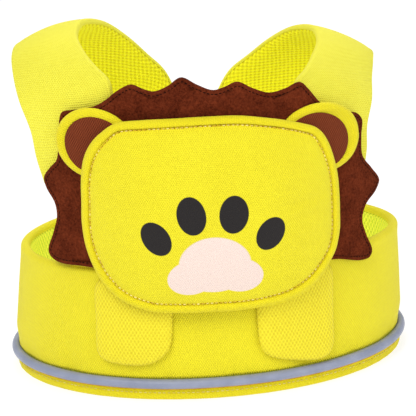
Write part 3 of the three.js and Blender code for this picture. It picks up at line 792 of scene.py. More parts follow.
def panel_grid(across, rows, inset):
    """The panel's cloth as a grid: its two lengths, and its shares across and up."""
    s, t = np.meshgrid(np.linspace(-1, 1, across), np.linspace(0, 1, rows))
    u = s * (PANEL_HALF_WIDTH + 2 * t - inset)
    v = panel_foot + inset * 0.3 + t * (panel_top_at(u) - panel_foot - 1.3 * inset)
    return u, v, s, t


def edge_fall(s, t, width=0.05):
    """1 inside a grid and 0 at its rim, rounded."""
    near = np.minimum(np.minimum(1 - np.abs(s), 2 * t), 2 * (1 - t)) / width
    return np.sqrt(np.clip(1 - (1 - np.clip(near, 0, 1)) ** 2, 0, 1))


u, v, s, t = panel_grid(150, 70, 0)
soft = edge_fall(s, t, 0.04)
front = wrap(u, v, -CLEARANCE - 0.9 * (1 - soft) - 0.1 - 0.1 * waves(41, 30, u, v))
behind = wrap(u, v, -CANVAS - 0.1 - (WALL - CANVAS - 0.4) * (1 - smooth(edge_fall(s, t, 0.06) * 1.4)))
panel = two_faced("panel_canvas", front, behind, pairs(u, v))
sewn(panel, "back_panel", canvas_plain)

u, v, s, t = panel_grid(250, 120, TURNED_EDGE + LINING_GAP)
soft = edge_fall(s, t, 0.08)
swelling = WALL + SWELL - 3.4 + 0.5 * cells(u, v, BAND_CELL) + 0.2 * waves(42, 30, u, v)
front, behind = wrap(u, v, -CANVAS - LINING_GAP), wrap(u, v, -3.2 - swelling * soft)
panel_mesh = two_faced("panel_mesh", front, behind, pairs(u, v))
sewn(panel_mesh, "back_panel_lining", mesh_band_shaded)

# %% [markdown]
# ## Shoulder straps
# Each strap leaves the panel's seam, goes over the shoulder and comes down in a V to the far
# rim. Its two edges are space curves through measured points, and a section is laid between
# them at each station: canvas outside with a turned border, spacer mesh inside the border.

# %% Strap route
STRAP_WIDTH, STRAP_BOW, STRAP_SPREAD, STRAP_SWAY = 41, 2.6, 2, 4.5
# inner edge, outer edge, bow, spread and sway, as shares of the body's sizes
STRAP_ROUTE = (
    ((0.443, -0.853, 0.797), (0.825, -0.545, 0.584), 1, 0, 0),
    ((0.453, -0.844, 0.842), (0.853, -0.5, 0.647), 1, 0.2, 0),
    ((0.469, -0.83, 0.884), (0.867, -0.468, 0.716), 1, 0.5, 0),
    ((0.529, -0.728, 0.916), (0.912, -0.372, 0.792), 1, 0.8, 0),
    ((0.581, -0.57, 0.945), (0.932, -0.255, 0.85), 1, 1, 0),
    ((0.619, -0.342, 0.974), (0.945, -0.139, 0.897), 1, 1, 0.2),
    ((0.6, -0.076, 0.995), (0.939, 0.019, 0.916), 1, 0.9, 0.6),
    ((0.5, 0.2, 0.977), (0.843, 0.294, 0.882), 1, 0.6, 0.9),
    ((0.39, 0.43, 0.924), (0.713, 0.503, 0.816), 0.9, 0.2, 1),
    ((0.283, 0.61, 0.858), (0.591, 0.672, 0.739), 0.8, 0, 1),
    ((0.171, 0.775, 0.784), (0.499, 0.785, 0.676), 0.7, 0, 0.9),
    ((0.081, 0.89, 0.653), (0.447, 0.87, 0.589), 0.6, 0, 0.6),
    ((0.034, 0.965, 0.511), (0.412, 0.913, 0.489), 0.6, 0, 0.2),
    ((0.02, 1, 0.371), (0.401, 0.919, 0.371), 0.5, 0, 0),
)


def through(knots, t):
    """Centripetal Catmull-Rom curve through knots, at shares t of its way."""
    knots = np.asarray(knots, float)
    count = len(knots)
    ends = np.concatenate([[2 * knots[0] - knots[1]], knots, [2 * knots[-1] - knots[-2]]])
    place = np.clip(t, 0, 1) * (count - 1)
    first = np.minimum(place.astype(int), count - 2)
    share = (place - first)[:, None]
    p = [ends[first + i] for i in range(4)]
    gap = [np.linalg.norm(p[i + 1] - p[i], axis=1)[:, None] ** 0.5 for i in range(3)]
    start = (p[1] - p[0]) / gap[0] - (p[2] - p[0]) / (gap[0] + gap[1]) + (p[2] - p[1]) / gap[1]
    end = (p[2] - p[1]) / gap[1] - (p[3] - p[1]) / (gap[1] + gap[2]) + (p[3] - p[2]) / gap[2]
    start, end = start * gap[1], end * gap[1]
    square, cube = share ** 2, share ** 3
    return (p[1] + start * share + (3 * (p[2] - p[1]) - 2 * start - end) * square
            + (2 * (p[1] - p[2]) + start + end) * cube)


def strap_places(side, stations):
    """The strap's stations: a function from a share across and a height to points in mm."""
    t = np.linspace(0, 1, stations)
    size = np.array([BAND_HALF_WIDTH, BAND_HALF_DEPTH, CREST_HEIGHT])
    inner, outer, bow, spread, sway = (np.array(column, float) for column in zip(*STRAP_ROUTE))
    inner, outer = inner * size, outer * size
    inner[:, 0] += side * sway * STRAP_SWAY
    outer[:, 0] += side * (sway * STRAP_SWAY - spread * STRAP_SPREAD)
    step = 1e-4
    ahead = 0
    for knots in (inner, outer):
        way = through(knots, t + step) - through(knots, t - step)
        ahead = ahead + way / np.linalg.norm(way, axis=1)[:, None]
    start, end = through(inner, t), through(outer, t)
    out = np.cross(end - start, ahead)
    out /= np.linalg.norm(out, axis=1)[:, None]
    crown = np.interp(t * (len(bow) - 1), np.arange(len(bow)), bow) * STRAP_BOW

    def place(across, n):
        across = np.asarray(across, float)
        points = start[:, None] + (end - start)[:, None] * across[..., None]
        lift = n + crown[:, None] * 4 * across * (1 - across)
        points = points + out[:, None] * lift[..., None]
        points[..., 0] *= side
        return points

    return place, lengths_along((start + end) / 2)


# %% Strap covers and linings
EDGE, RIM = 1.4, 3.4
STRAP_STATIONS, LINING_STATIONS = 220, 400
share, border, inner_edge = EDGE / STRAP_WIDTH, 1.1 / STRAP_WIDTH, 1.25 / STRAP_WIDTH
corner = np.linspace(0, 1, 7) * math.pi / 2


def strap_section():
    """Shares across and heights of the cover's section, with rounded edges and turned borders."""
    top = [(x, 0) for x in np.linspace(share, 1 - share, 30)]
    outer_edge = [(1 - share + share * math.sin(a), -EDGE * (1 - math.cos(a))) for a in corner[1:]]
    foot = RIM - EDGE * 0.8
    under = [(1 - share * 0.8 * (1 - math.cos(a)), -foot - EDGE * 0.8 * math.sin(a)) for a in corner]
    inside = [(1 - border, -RIM + 0.3), (1 - border, -CANVAS - 0.5)]
    half = [*outer_edge, *under, *inside]
    lining = [(x, -CANVAS - 0.5) for x in np.linspace(1 - border - 0.03, border + 0.03, 12)]
    other = [(1 - x, y) for x, y in reversed(half)]
    return np.array([*top, *half, *lining, *other])


for side, hand in ((-1, "left"), (1, "right")):
    places, along = strap_places(side, STRAP_STATIONS)
    across, n = columns(strap_section())
    outer = np.clip(1 + n / CANVAS, 0, 1)
    ripple = 0.22 * waves(50 + side, 24, along[:, None], across * STRAP_WIDTH) - 0.15
    seam = -0.15 * np.exp(-((np.minimum(across, 1 - across) * STRAP_WIDTH - 3.4) / 0.7) ** 2)
    strap = skin(f"strap_canvas_{hand}", places(across, n + (ripple + seam) * outer))
    sewn(strap, f"shoulder_strap_{hand}", canvas_strap)

    places, along = strap_places(side, LINING_STATIONS)
    across = np.linspace(inner_edge, 1 - inner_edge, 62)
    swell = np.sqrt(np.clip(1 - np.abs(2 * (across - 0.5) / (1 - 2 * inner_edge)) ** 4, 0, 1))
    under = pairs(across, -RIM + 0.6 - (WALL + SWELL - RIM + 0.5) * swell)
    ends = [(inner_edge, -CANVAS - 0.9), (1 - inner_edge, -CANVAS - 0.9)]
    x, n = columns(section_of(ends, under[::-1]))
    along = along[:, None]
    bumps = 0.75 * cells(x * STRAP_WIDTH, along, STRAP_CELL) * (n < -RIM + 0.7)
    rings = places(x, n - bumps + 0.2 * waves(60 + side, 25, along, x * 40))
    strap_mesh = skin(f"strap_mesh_{hand}", rings, pairs(x * STRAP_WIDTH, along))
    sewn(strap_mesh, f"strap_lining_{hand}", mesh_strap)

# %% [markdown]
# ## Felt ruff
# The ruff is one piece of pressed felt with ten rounded points, cut by eye, so no two are alike.
# Its outline is a table of shares with a smooth line through it. The felt is cut thick, with
# soft edges and points that curl.

# %% Felt ruff
RUFF_HALF_WIDTH, RUFF_BOTTOM, RUFF_TOP, FELT = 98, 68.5, 168, 2.4
RUFF_BACK = 2 * CLEARANCE
RUFF_FRONT = RUFF_BACK + FELT
RUFF_MIDDLE = (0, RUFF_BOTTOM + 0.45 * (RUFF_TOP - RUFF_BOTTOM))
# from the middle of the foot to the right and round: across and up, in shares
RUFF_TABLE = (
    (0, 0), (0.112, 0), (0.224, 0), (0.342, -0.003), (0.459, -0.005), (0.575, -0.011),
    (0.69, -0.016), (0.862, -0.063), (0.929, -0.062), (0.953, -0.026), (0.912, 0.08), (0.89, 0.174),
    (0.927, 0.252), (1.026, 0.312), (1.068, 0.366), (0.993, 0.457), (0.917, 0.545), (0.912, 0.66),
    (0.922, 0.754), (0.877, 0.799), (0.809, 0.814), (0.689, 0.855), (0.623, 0.896), (0.598, 0.926),
    (0.556, 0.976), (0.517, 1.009), (0.429, 0.977), (0.343, 0.959), (0.255, 0.986), (0.174, 1.022),
    (0.107, 0.995), (0.045, 0.978), (-0.036, 1.006), (-0.115, 1.042), (-0.189, 0.994), (-0.262, 0.964),
    (-0.321, 0.976), (-0.376, 0.995), (-0.444, 0.964), (-0.531, 0.899), (-0.585, 0.871), (-0.722, 0.838),
    (-0.778, 0.823), (-0.8, 0.773), (-0.818, 0.673), (-0.833, 0.577), (-0.887, 0.526), (-0.932, 0.471),
    (-0.919, 0.418), (-0.869, 0.348), (-0.861, 0.281), (-0.891, 0.199), (-0.94, 0.088), (-0.913, 0.054),
    (-0.853, 0.037), (-0.727, 0.035), (-0.593, 0.028), (-0.459, 0.02), (-0.342, 0.013), (-0.224, 0.005),
    (-0.112, 0.003),
)


def stepped(line, count):
    """Points at an even pitch along a flat line, and their lengths along it."""
    at = lengths_along(line)
    where = np.linspace(0, at[-1], count)
    return pairs(*(np.interp(where, at, axis) for axis in line.T)), where


def even(line, count):
    """The closed line's points at an even pitch."""
    return stepped(np.concatenate([line, line[:1]]), count + 1)[0][:-1]


def smooth_line(table, corner, size, count, inset=0.0):
    """A closed line through a table's points, at an even pitch, a length in from it."""
    knots = np.array(table) * size + corner
    knots = np.concatenate([knots[-3:], knots, knots[:4]])
    share = np.linspace(3, len(table) + 3, len(table) * 16 + 1)[:-1] / (len(knots) - 1)
    line = even(through(knots, share), count)
    return line + inward_of(line) * inset


def ruff_outline(inset=0.0):
    """The ruff's outline, a length in from its edge."""
    size = RUFF_HALF_WIDTH, RUFF_TOP - RUFF_BOTTOM
    return smooth_line(RUFF_TABLE, (0, RUFF_BOTTOM), size, 360, inset)


# the felt is held round a middle height, and beyond a radius its points curl
CURL_MIDDLE, CURL_START, CURL_REACH, CURL_WIDEN = 105, 52, 34, 1.15


def felt_curl(u, v):
    """Points of the felt lift a little off what is behind them, where no flap holds them."""
    out = smooth((np.hypot(u / CURL_WIDEN, v - CURL_MIDDLE) - CURL_START) / CURL_REACH)
    return out * (0.35 + 0.55 * waves(71, 26, u, v))


def felt_front(drop):
    """Height of the felt's face, a drop below its full thickness."""
    def height(u, v):
        return RUFF_FRONT - drop + np.maximum(-0.1, felt_curl(u, v)) + 0.05 * waves(72, 6, u, v)
    return height


def felt_back(rise):
    """Height of the felt's back, a rise above its lowest."""
    return lambda u, v: RUFF_BACK + rise + np.maximum(-0.2, felt_curl(u, v) * 0.8)


FELT_EDGE = 0.8
# the groove that the stitches press: inset and drop
FELT_GROOVE = ((2.9, 0), (2.5, 0.12), (2.2, 0.3), (1.85, 0.12), (1.4, 0))
spread = np.linspace(0.03, 1, 34)[:-1]


def round_edge(first):
    """A quarter round from a share of its turn on: how far it is from its side, and from its top."""
    angles = np.linspace(first, 1, 5) * math.pi / 2
    return FELT_EDGE * pairs(1 - np.sin(angles), 1 - np.cos(angles))


ruff_layers = spread_layers(spread * 0.965, felt_front(0)) + edge_layers(FELT_GROOVE, felt_front)
ruff_layers += [(1, inset + 0.02, felt_front(drop)) for inset, drop in round_edge(0.15)]
ruff_layers += [(1, inset + 0.02, felt_back(rise)) for rise, inset in round_edge(0)]
ruff_layers += spread_layers(spread[::-3] * 0.95, felt_back(0))
ruff = plate("ruff_felt", ruff_outline(), RUFF_MIDDLE, ruff_layers)
sewn(ruff, "felt_ruff", felt_brown)


# %% [markdown]
# ## Pocket
# The pocket is a shallow canvas pouch behind the flap, open at its top. It is laid as one closed
# pad, its upper gusset is cut out for the mouth, and Solidify gives the cloth its thickness.

# %% Pocket
POUCH_HALF_WIDTH, POUCH_BOTTOM, POUCH_TOP, POUCH_CORNER, POUCH_WALL = 47, 62, 128, 19, 1.2
POCKET_DEPTH = 11
FLAP_HALF_WIDTH, FLAP_BOTTOM, FLAP_TOP = 65, 50, 154.5
FLAP_PADDING, FLAP_HANG = 3.4, 2.2
EAR_ACROSS, EAR_UP, EAR_HALF_WIDTH, EAR_HALF_HEIGHT = 59, 137, 23, 19
EAR_PADDING, EAR_LINING = 2.6, 0.7
FLAP_MIDDLE = (0, (FLAP_BOTTOM + FLAP_TOP) / 2)
EAR_STACK = EAR_PADDING + CLEARANCE + EAR_LINING + CLEARANCE


def rounded_box(left, right, bottom, top, low, high, steps, between):
    """A rectangle's outline, anticlockwise, with one radius below and one above."""
    corners = [
        arc(right - low, bottom + low, low, -1, 0, steps),
        arc(right - high, top - high, high, 0, 1, steps),
        arc(left + high, top - high, high, 1, 2, steps),
        arc(left + low, bottom + low, low, 2, 3, steps),
    ]
    runs = []
    for points, after in zip(corners, corners[1:] + corners[:1]):
        runs += [points, np.linspace(points[-1], after[0], between + 2)[1:-1]]
    return np.concatenate(runs)


def pocket_lift(u, v):
    """How far the full pocket holds the flap off the ruff."""
    across = np.clip(1 - np.abs(u / FLAP_HALF_WIDTH) ** 2.4, 0, 1)
    rise = np.clip(1 - np.abs((v - FLAP_MIDDLE[1]) / (FLAP_MIDDLE[1] - FLAP_BOTTOM)) ** 2.4, 0, 1)
    return POCKET_DEPTH * across * rise


def flap_back(u, v):
    """Height of the flap's back over the body."""
    high = np.clip((v - FLAP_BOTTOM) / (EAR_UP - EAR_HALF_HEIGHT - FLAP_BOTTOM), 0, 1)
    corners = EAR_STACK * smooth(np.abs(u) / (EAR_ACROSS - EAR_HALF_WIDTH))
    return RUFF_FRONT + CLEARANCE + pocket_lift(u, v) + FLAP_HANG + (corners - FLAP_HANG) * high


def pouch_front(u, v):
    """Height of the pocket's front, close under the flap."""
    free = np.maximum(flap_back(u, v) - 2 * CLEARANCE - 0.4, RUFF_FRONT + 2.4)
    return free + 0.3 * waves(81, 16, u, v) - 0.3


pouch_back = RUFF_FRONT + 2 * CLEARANCE
pouch_outline = rounded_box(-POUCH_HALF_WIDTH, POUCH_HALF_WIDTH, POUCH_BOTTOM, POUCH_TOP,
                            POUCH_CORNER, POUCH_CORNER, 12, 14)
GUSSET_ROWS, FRONT_SHARES, BACK_SHARES = 6, np.linspace(0.05, 0.96, 20), np.linspace(0.94, 0.06, 8)


def pouch_edge(k):
    """Height of the rounded edge, whose k goes from 0 to 2."""
    return lambda u, v: pouch_front(u, v) - 0.5 * k


def gusset(share):
    """Height of the gusset, at a share of the way from its back to its front."""
    return lambda u, v: pouch_back + (pouch_front(u, v) - 1 - pouch_back) * share


layers = spread_layers(FRONT_SHARES, pouch_front)
layers += [(1, 1.5 * (1 - k / 2), pouch_edge(k)) for k in range(3)]
layers += edge_layers([(0, share) for share in np.linspace(0.8, 0, GUSSET_ROWS)], gusset)
layers += spread_layers(BACK_SHARES, pouch_back)
pouch = plate("pocket_cloth", pouch_outline, (0, (POUCH_BOTTOM + POUCH_TOP) / 2), layers)
cut = bmesh.new()
cut.from_mesh(pouch.data)
mouth_height = (POUCH_TOP - 3.5) * MM
mouth = [face for face in cut.faces
         if face.calc_center_median().z > mouth_height and abs(face.normal.z) > 0.6]
bmesh.ops.delete(cut, geom=mouth, context="FACES")
cut.to_mesh(pouch.data)
cut.free()
wall = pouch.modifiers.new("cloth", "SOLIDIFY")
wall.thickness, wall.offset = POUCH_WALL * MM * 0.8, -1
sewn(pouch, "pocket_pouch", canvas_plain)

# %% [markdown]
# ## Flap
# The flap is a soft pad inside a rolled binding. A line of stitches lies in the valley between
# them and draws the cloth into small puckers. Across the pad run two faint folds from packing.

# %% Flap pad
STITCH_INSET = 5.5
# from the middle of the foot to the right and round: across and up, in shares
FLAP_TABLE = (
    (0, 0.001), (0.222, -0.001), (0.478, 0.015), (0.6, 0.034), (0.697, 0.061), (0.778, 0.096),
    (0.843, 0.132), (0.925, 0.189), (0.99, 0.256), (1.025, 0.344), (1.03, 0.45), (1.028, 0.561),
    (1.01, 0.679), (0.964, 0.786), (0.926, 0.842), (0.88, 0.887), (0.822, 0.918), (0.749, 0.936),
    (0.631, 0.958), (0.515, 0.974), (0.265, 0.991), (0.025, 0.986), (-0.215, 0.979), (-0.462, 0.97),
    (-0.671, 0.95), (-0.777, 0.906), (-0.866, 0.85), (-0.937, 0.771), (-0.975, 0.675), (-0.991, 0.561),
    (-1.003, 0.437), (-0.982, 0.332), (-0.925, 0.236), (-0.88, 0.186), (-0.823, 0.139), (-0.754, 0.094),
    (-0.671, 0.058), (-0.575, 0.031), (-0.474, 0.012), (-0.225, 0.002),
)
flap_size = FLAP_HALF_WIDTH, FLAP_TOP - FLAP_BOTTOM
flap_outline = smooth_line(FLAP_TABLE, (0, FLAP_BOTTOM), flap_size, 240)
# the pad's dome: its height, half width and half height
DOME = (0.9, 60, 48)
# the fold down from the top edge: its place across, width and lift
TALL_FOLD = (3.4, 1.6, -0.3)
# the fold from the right edge has a valley and a ridge: height at u = 40, width and lift
SIDE_FOLD = ((107, 2.0, -0.4), (103, 2.4, 0.3))
# the pad's fall towards the stitches: inset and fullness
PAD_FALL = ((10.6, 1.0), (9.6, 0.99), (8.6, 0.96), (7.6, 0.9), (6.8, 0.8), (6.1, 0.68), (5.6, 0.6),
            (5.1, 0.58), (4.6, 0.58), (4, 0.5))


def flap_face(fullness, pucker):
    """Height of the flap's face. pucker is 1 at the stitches and 0 away from them."""
    def height(u, v):
        lift, wide, high = DOME
        dome = np.clip(1 - (u / wide) ** 2, 0, 1) * np.clip(1 - ((v - FLAP_MIDDLE[1]) / high) ** 2, 0, 1)
        soft = lift * dome + 0.28 * waves(91, 30, u, v)
        middle, width, lift = TALL_FOLD
        fold = np.exp(-((u - middle) / width) ** 2) * smooth((v - 112) / 14) * smooth((150 - v) / 10)
        soft = soft + lift * fold
        for middle, width, lift in SIDE_FOLD:
            fold = np.exp(-((v - middle - 0.12 * (u - 40)) / width) ** 2)
            soft = soft + lift * fold * smooth((u - 24) / 18)
        fine = pucker * (0.22 * waves(92, 5, u, v) + 0.1 * waves(93, 2.2, u, v))
        return flap_back(u, v) + FLAP_PADDING * fullness + soft * (1 - 0.7 * pucker) + fine
    return height


def flap_under(n):
    """Height at n over the flap's back."""
    return lambda u, v: flap_back(u, v) + n


pad_layers = [(x, 0, flap_face(1, smooth((x - 0.6) / 0.3))) for x in np.linspace(0.02, 0.76, 46)]
pad_layers += edge_layers(PAD_FALL, lambda fullness: flap_face(fullness, 1))
pad_layers += edge_layers(((3.8, 0.8), (4.4, 0.35)), flap_under)
pad_layers += spread_layers(np.linspace(0.88, 0.05, 10), flap_under(0.3))
flap = plate("flap_pad", flap_outline, FLAP_MIDDLE, pad_layers)

# %% [markdown]
# ## Print on the flap
# The flap is printed with one large paw: a peach pad and four dark toes. Ellipses on the cloth's
# own map make it, so it bends with the flap. Ink fills the weave and leaves it smoother.

# %% Flap print
PEACH, INK = (0.93, 0.745, 0.665), (0.012, 0.009, 0.010)
# each ellipse: across, up, half width, half height, turn in degrees
PAD_ELLIPSES = (
    (0, 78, 16.5, 15, 0), (-11, 71.5, 11.5, 9.5, 20), (11, 71.5, 11.5, 9.5, -20), (0, 71, 14, 8.4, 0),
)
TOE_ELLIPSES = (
    (-26, 93, 6.4, 9.2, 24), (-9.6, 104.5, 6.6, 10, 7), (9.6, 104.5, 6.6, 10, -7), (26, 93, 6.4, 9.2, -24),
)
FLAP_WEAVE = (0.00105, 0.00092)


def ellipses(tree, cloth, shapes):
    """1 inside any of the ellipses and 0 outside, with a thin soft edge."""
    inside = None
    for across, rise, half_width, half_height, degrees in shapes:
        mapping = tree.nodes.new("ShaderNodeMapping")
        mapping.vector_type = "TEXTURE"
        mapping.inputs["Location"].default_value = (across * MM, rise * MM, 0)
        mapping.inputs["Rotation"].default_value = (0, 0, math.radians(degrees))
        mapping.inputs["Scale"].default_value = (half_width * MM, half_height * MM, 1)
        tree.links.new(cloth, mapping.inputs[0])
        length = tree.nodes.new("ShaderNodeVectorMath")
        length.operation = "LENGTH"
        tree.links.new(mapping.outputs[0], length.inputs[0])
        edge = spread_out(tree, length.outputs["Value"], 1.02, 0.98)
        inside = edge if inside is None else calc(tree, "MAXIMUM", inside, edge)
    return inside


flap_canvas, tree, shader, cloth = canvas_finish("canvas_flap", *FLAP_WEAVE)
woven = shader.inputs["Base Color"].links[0].from_socket
bump = shader.inputs["Normal"].links[0].from_node
# the peach is darker between the weave's crossings, which is painted shade
shade = spread_out(tree, dots(tree, cloth, *FLAP_WEAVE), -0.5, 1.0)
pad_mask, toe_mask = ellipses(tree, cloth, PAD_ELLIPSES), ellipses(tree, cloth, TOE_ELLIPSES)
peach = blend_colours(tree, shade, tuple(0.93 * c for c in PEACH), PEACH)
coloured(tree, shader, toe_mask, blend_colours(tree, pad_mask, woven, peach), INK)
height = bump.inputs["Height"].links[0].from_socket
smoother = calc(tree, "MULTIPLY_ADD", calc(tree, "MAXIMUM", pad_mask, toe_mask), -0.6, 1)
tree.links.new(calc(tree, "MULTIPLY", height, smoother), bump.inputs["Height"])
sewn(flap, "front_flap", flap_canvas)

# %% [markdown]
# ## Flap binding
# The binding is a tape that is cut on the bias, rolled round the flap's edge and joined at the
# middle of its foot. It is swept round the outline, and its two ends overlap at the join. A
# thinner edge shows under it at both low corners, where the flap's back stands out.

# %% Flap binding
def from_foot(line):
    """The flap's outline, turned to start at the middle of its foot."""
    return np.roll(line, -int(np.argmin(np.hypot(line[:, 0], line[:, 1] - FLAP_BOTTOM))), 0)


def at_top(line):
    """1 along the flap's top edge, where its roll is narrower, and 0 below."""
    return smooth((line[:, 1:] - 138) / 12)


def round_flap(line, across, height):
    """A section carried round the flap's outline."""
    flat = line[:, None] + inward_of(line)[:, None] * across[..., None]
    return flat, wrap(flat[..., 0], flat[..., 1], flap_back(flat[..., 0], flat[..., 1]) + height)


BINDING_STATIONS = 420
ROLL_HALF_WIDTH, ROLL_HALF_HEIGHT = 2.35, 1.85
line = from_foot(even(flap_outline, BINDING_STATIONS))
circle = np.linspace(0, 2 * math.pi, 25)[None, :-1]
station = np.arange(BINDING_STATIONS)[:, None]
join = 1 + 0.10 * smooth((12 - station) / 4) - 0.04 * smooth((station - BINDING_STATIONS + 10) / 4)
squeeze = 1 - 0.18 * np.clip(np.cos(circle), 0, 1) ** 2
roll = (ROLL_HALF_WIDTH + 0.12 * waves(95, 20, station, 0 * station)) * join * np.cos(circle)
rise = ROLL_HALF_HEIGHT * join * np.sin(circle) * squeeze + 0.1 * waves(96, 7, station, circle)
flat, rings = round_flap(line, (ROLL_HALF_WIDTH - roll) * (1 - 0.17 * at_top(line)), 2.05 + rise)
# the last end is tucked under the first one's start
tucked = rings[:4].mean(1, keepdims=True) * 0.12 + rings[:4] * 0.88
binding = skin("flap_binding", np.concatenate([rings, tucked]))
sewn(binding, "front_flap", canvas_bias)

u, v = flat[:, :1, 0], flat[:, :1, 1]
proud = (1.5 + 1.1 * (u > 0)) * smooth((88 - v) / 24) * smooth((np.abs(u) - 12) / 20)
rings = round_flap(line, 1.9 - proud - 1.5 * np.cos(circle), np.sin(circle) - 0.15)[1]
sewn(skin("flap_backing", rings), "front_flap", canvas_bias)

# %% [markdown]
# ## Ears and tabs
# Both are stuffed shapes. An ear has a thick rolled rim round a dished middle, where a disc of
# brown twill is sewn in. A tab is a flat pillow whose lower end stands off the band.

# %% Ears
# middle across and up, half width and half height, in shares: the ears, then their discs
EAR_TABLE = {"left": (-0.973, 0.996, 0.957, 0.953), "right": (1.025, 1.004, 1.057, 1.042)}
DISC_TABLE = {"left": (-0.953, 0.99, 0.748, 0.784), "right": (0.966, 0.991, 0.839, 0.868)}
# an ear's rolled rim and a disc's edge, from the face down: inset, and height off the ear's back
EAR_RIM = (
    (5.6, 2.15), (5, 2.35), (4.4, 2.75), (3.6, 3.15), (2.7, 3.3), (1.8, 3.15), (1, 2.75),
    (0.4, 2.2), (0.08, 1.6), (0, 1.2), (0.2, 0.7), (0.8, 0.35), (1.8, 0.15),
)
DISC_FOOT = 2.55
DISC_EDGE = ((0.8, DISC_FOOT + 0.7), (0.3, DISC_FOOT + 0.55), (0, DISC_FOOT + 0.25), (0.3, DISC_FOOT))
ear_back = RUFF_FRONT + CLEARANCE


def oval(row):
    """An oval outline and its middle, from a row of shares."""
    middle = np.array(row[:2]) * (EAR_ACROSS, EAR_UP)
    return arc(0, 0, 1, 0, 4, 120)[:-1] * row[2:] * (EAR_HALF_WIDTH, EAR_HALF_HEIGHT) + middle, middle


def ear_height(n):
    """Height at n over the ear's back, a little uneven."""
    return lambda u, v: ear_back + n + 0.12 * waves(101, 9, u, v)


for side, hand in ((-1, "left"), (1, "right")):
    ring, middle = oval(EAR_TABLE[hand])
    wobble = 1 + 0.012 * waves(100 + side, 1.2, np.linspace(0, 6.28, 120))
    ring = (ring - middle) * wobble[:, None] + middle
    layers = spread_layers(np.linspace(0.05, 0.66, 9), ear_height(2.1)) + edge_layers(EAR_RIM, ear_height)
    layers += spread_layers(np.linspace(0.8, 0.1, 6), ear_back + 0.05)
    ear = plate(f"ear_pad_{hand}", ring, middle, layers)
    sewn(ear, f"ear_{hand}", canvas_bias)

    layers = spread_layers(np.linspace(0.05, 0.9, 14), ear_height(DISC_FOOT + 0.75))
    layers += edge_layers(DISC_EDGE, ear_height)
    layers += spread_layers(np.linspace(0.8, 0.1, 4), ear_height(DISC_FOOT))
    disc = plate(f"ear_disc_{hand}", *oval(DISC_TABLE[hand]), layers)
    sewn(disc, f"ear_lining_{hand}", twill_brown)

# %% Tabs
TAB_INNER, TAB_WIDTH, TAB_BOTTOM, TAB_SEAM, TAB_LIFT = 21.8, 43.8, 17.6, 2.5, 1.3
TAB_TOP = RUFF_BOTTOM - TAB_SEAM
# each from the inner end of its top edge down and round: across from TAB_INNER and up, in shares
TAB_LEFT = (
    (0.009, 1), (0.011, 0.64), (0.018, 0.517), (0.027, 0.405), (0.046, 0.293), (0.073, 0.221),
    (0.126, 0.163), (0.256, 0.079), (0.358, 0.05), (0.525, 0.041), (0.669, 0.05), (0.815, 0.072),
    (0.895, 0.112), (0.938, 0.176), (0.954, 0.287), (0.959, 0.424), (0.963, 0.583), (0.973, 0.773),
    (0.968, 0.875), (0.93, 0.955), (0.85, 0.995), (0.735, 1), (0.484, 1), (0.233, 1),
)
TAB_RIGHT = (
    (-0.011, 1), (-0.014, 0.62), (-0.014, 0.372), (-0.009, 0.258), (0.014, 0.165), (0.068, 0.097),
    (0.148, 0.052), (0.242, 0.021), (0.447, -0.025), (0.598, -0.052), (0.701, -0.06), (0.79, -0.05),
    (0.863, -0.014), (0.913, 0.068), (0.936, 0.178), (0.954, 0.347), (0.975, 0.517), (1, 0.731),
    (1.008, 0.86), (0.975, 0.955), (0.895, 0.997), (0.758, 1), (0.484, 1), (0.233, 1),
)

# a tab's edge, from its face down: inset and height
TAB_EDGE = (
    (3.6, 2.95), (2.8, 2.75), (2.0, 2.6), (1.3, 2.3), (0.7, 1.85), (0.25, 1.3), (0, 0.9),
    (0.25, 0.5), (0.9, 0.25), (2, 0.1),
)


def tab_height(side, n, pucker=0.0):
    """Height of a tab, whose lower end stands off the band."""
    def height(u, v):
        off = CLEARANCE + TAB_LIFT * smooth((48 - v) / 26)
        return off + n + 0.18 * waves(110 + side, 15, u, v) + pucker * 0.1 * waves(112, 4, u, v)
    return height


for side, hand, table in ((-1, "left", TAB_LEFT[::-1]), (1, "right", TAB_RIGHT)):
    size = side * TAB_WIDTH, TAB_TOP - TAB_BOTTOM
    outline = smooth_line(table, (side * TAB_INNER, TAB_BOTTOM), size, 140)
    middle = (side * (TAB_INNER + TAB_WIDTH / 2), (TAB_BOTTOM + TAB_TOP) / 2)
    layers = [(x, 0, tab_height(side, 3.5 - 0.5 * x ** 2)) for x in np.linspace(0.05, 0.78, 14)]
    layers += [(1, inset, tab_height(side, n, 1.0)) for inset, n in TAB_EDGE]
    layers += spread_layers(np.linspace(0.8, 0.1, 6), tab_height(side, 0.05))
    tab = plate(f"tab_pad_{hand}", outline, middle, layers)
    sewn(tab, f"paw_tab_{hand}", canvas_tab)

# %% [markdown]
# ## Stitches
# A stitch is a short fat thread that repeats at one pitch, so a Geometry Nodes tree sets a small
# capsule at each step of a path, turned along it and away from the cloth.

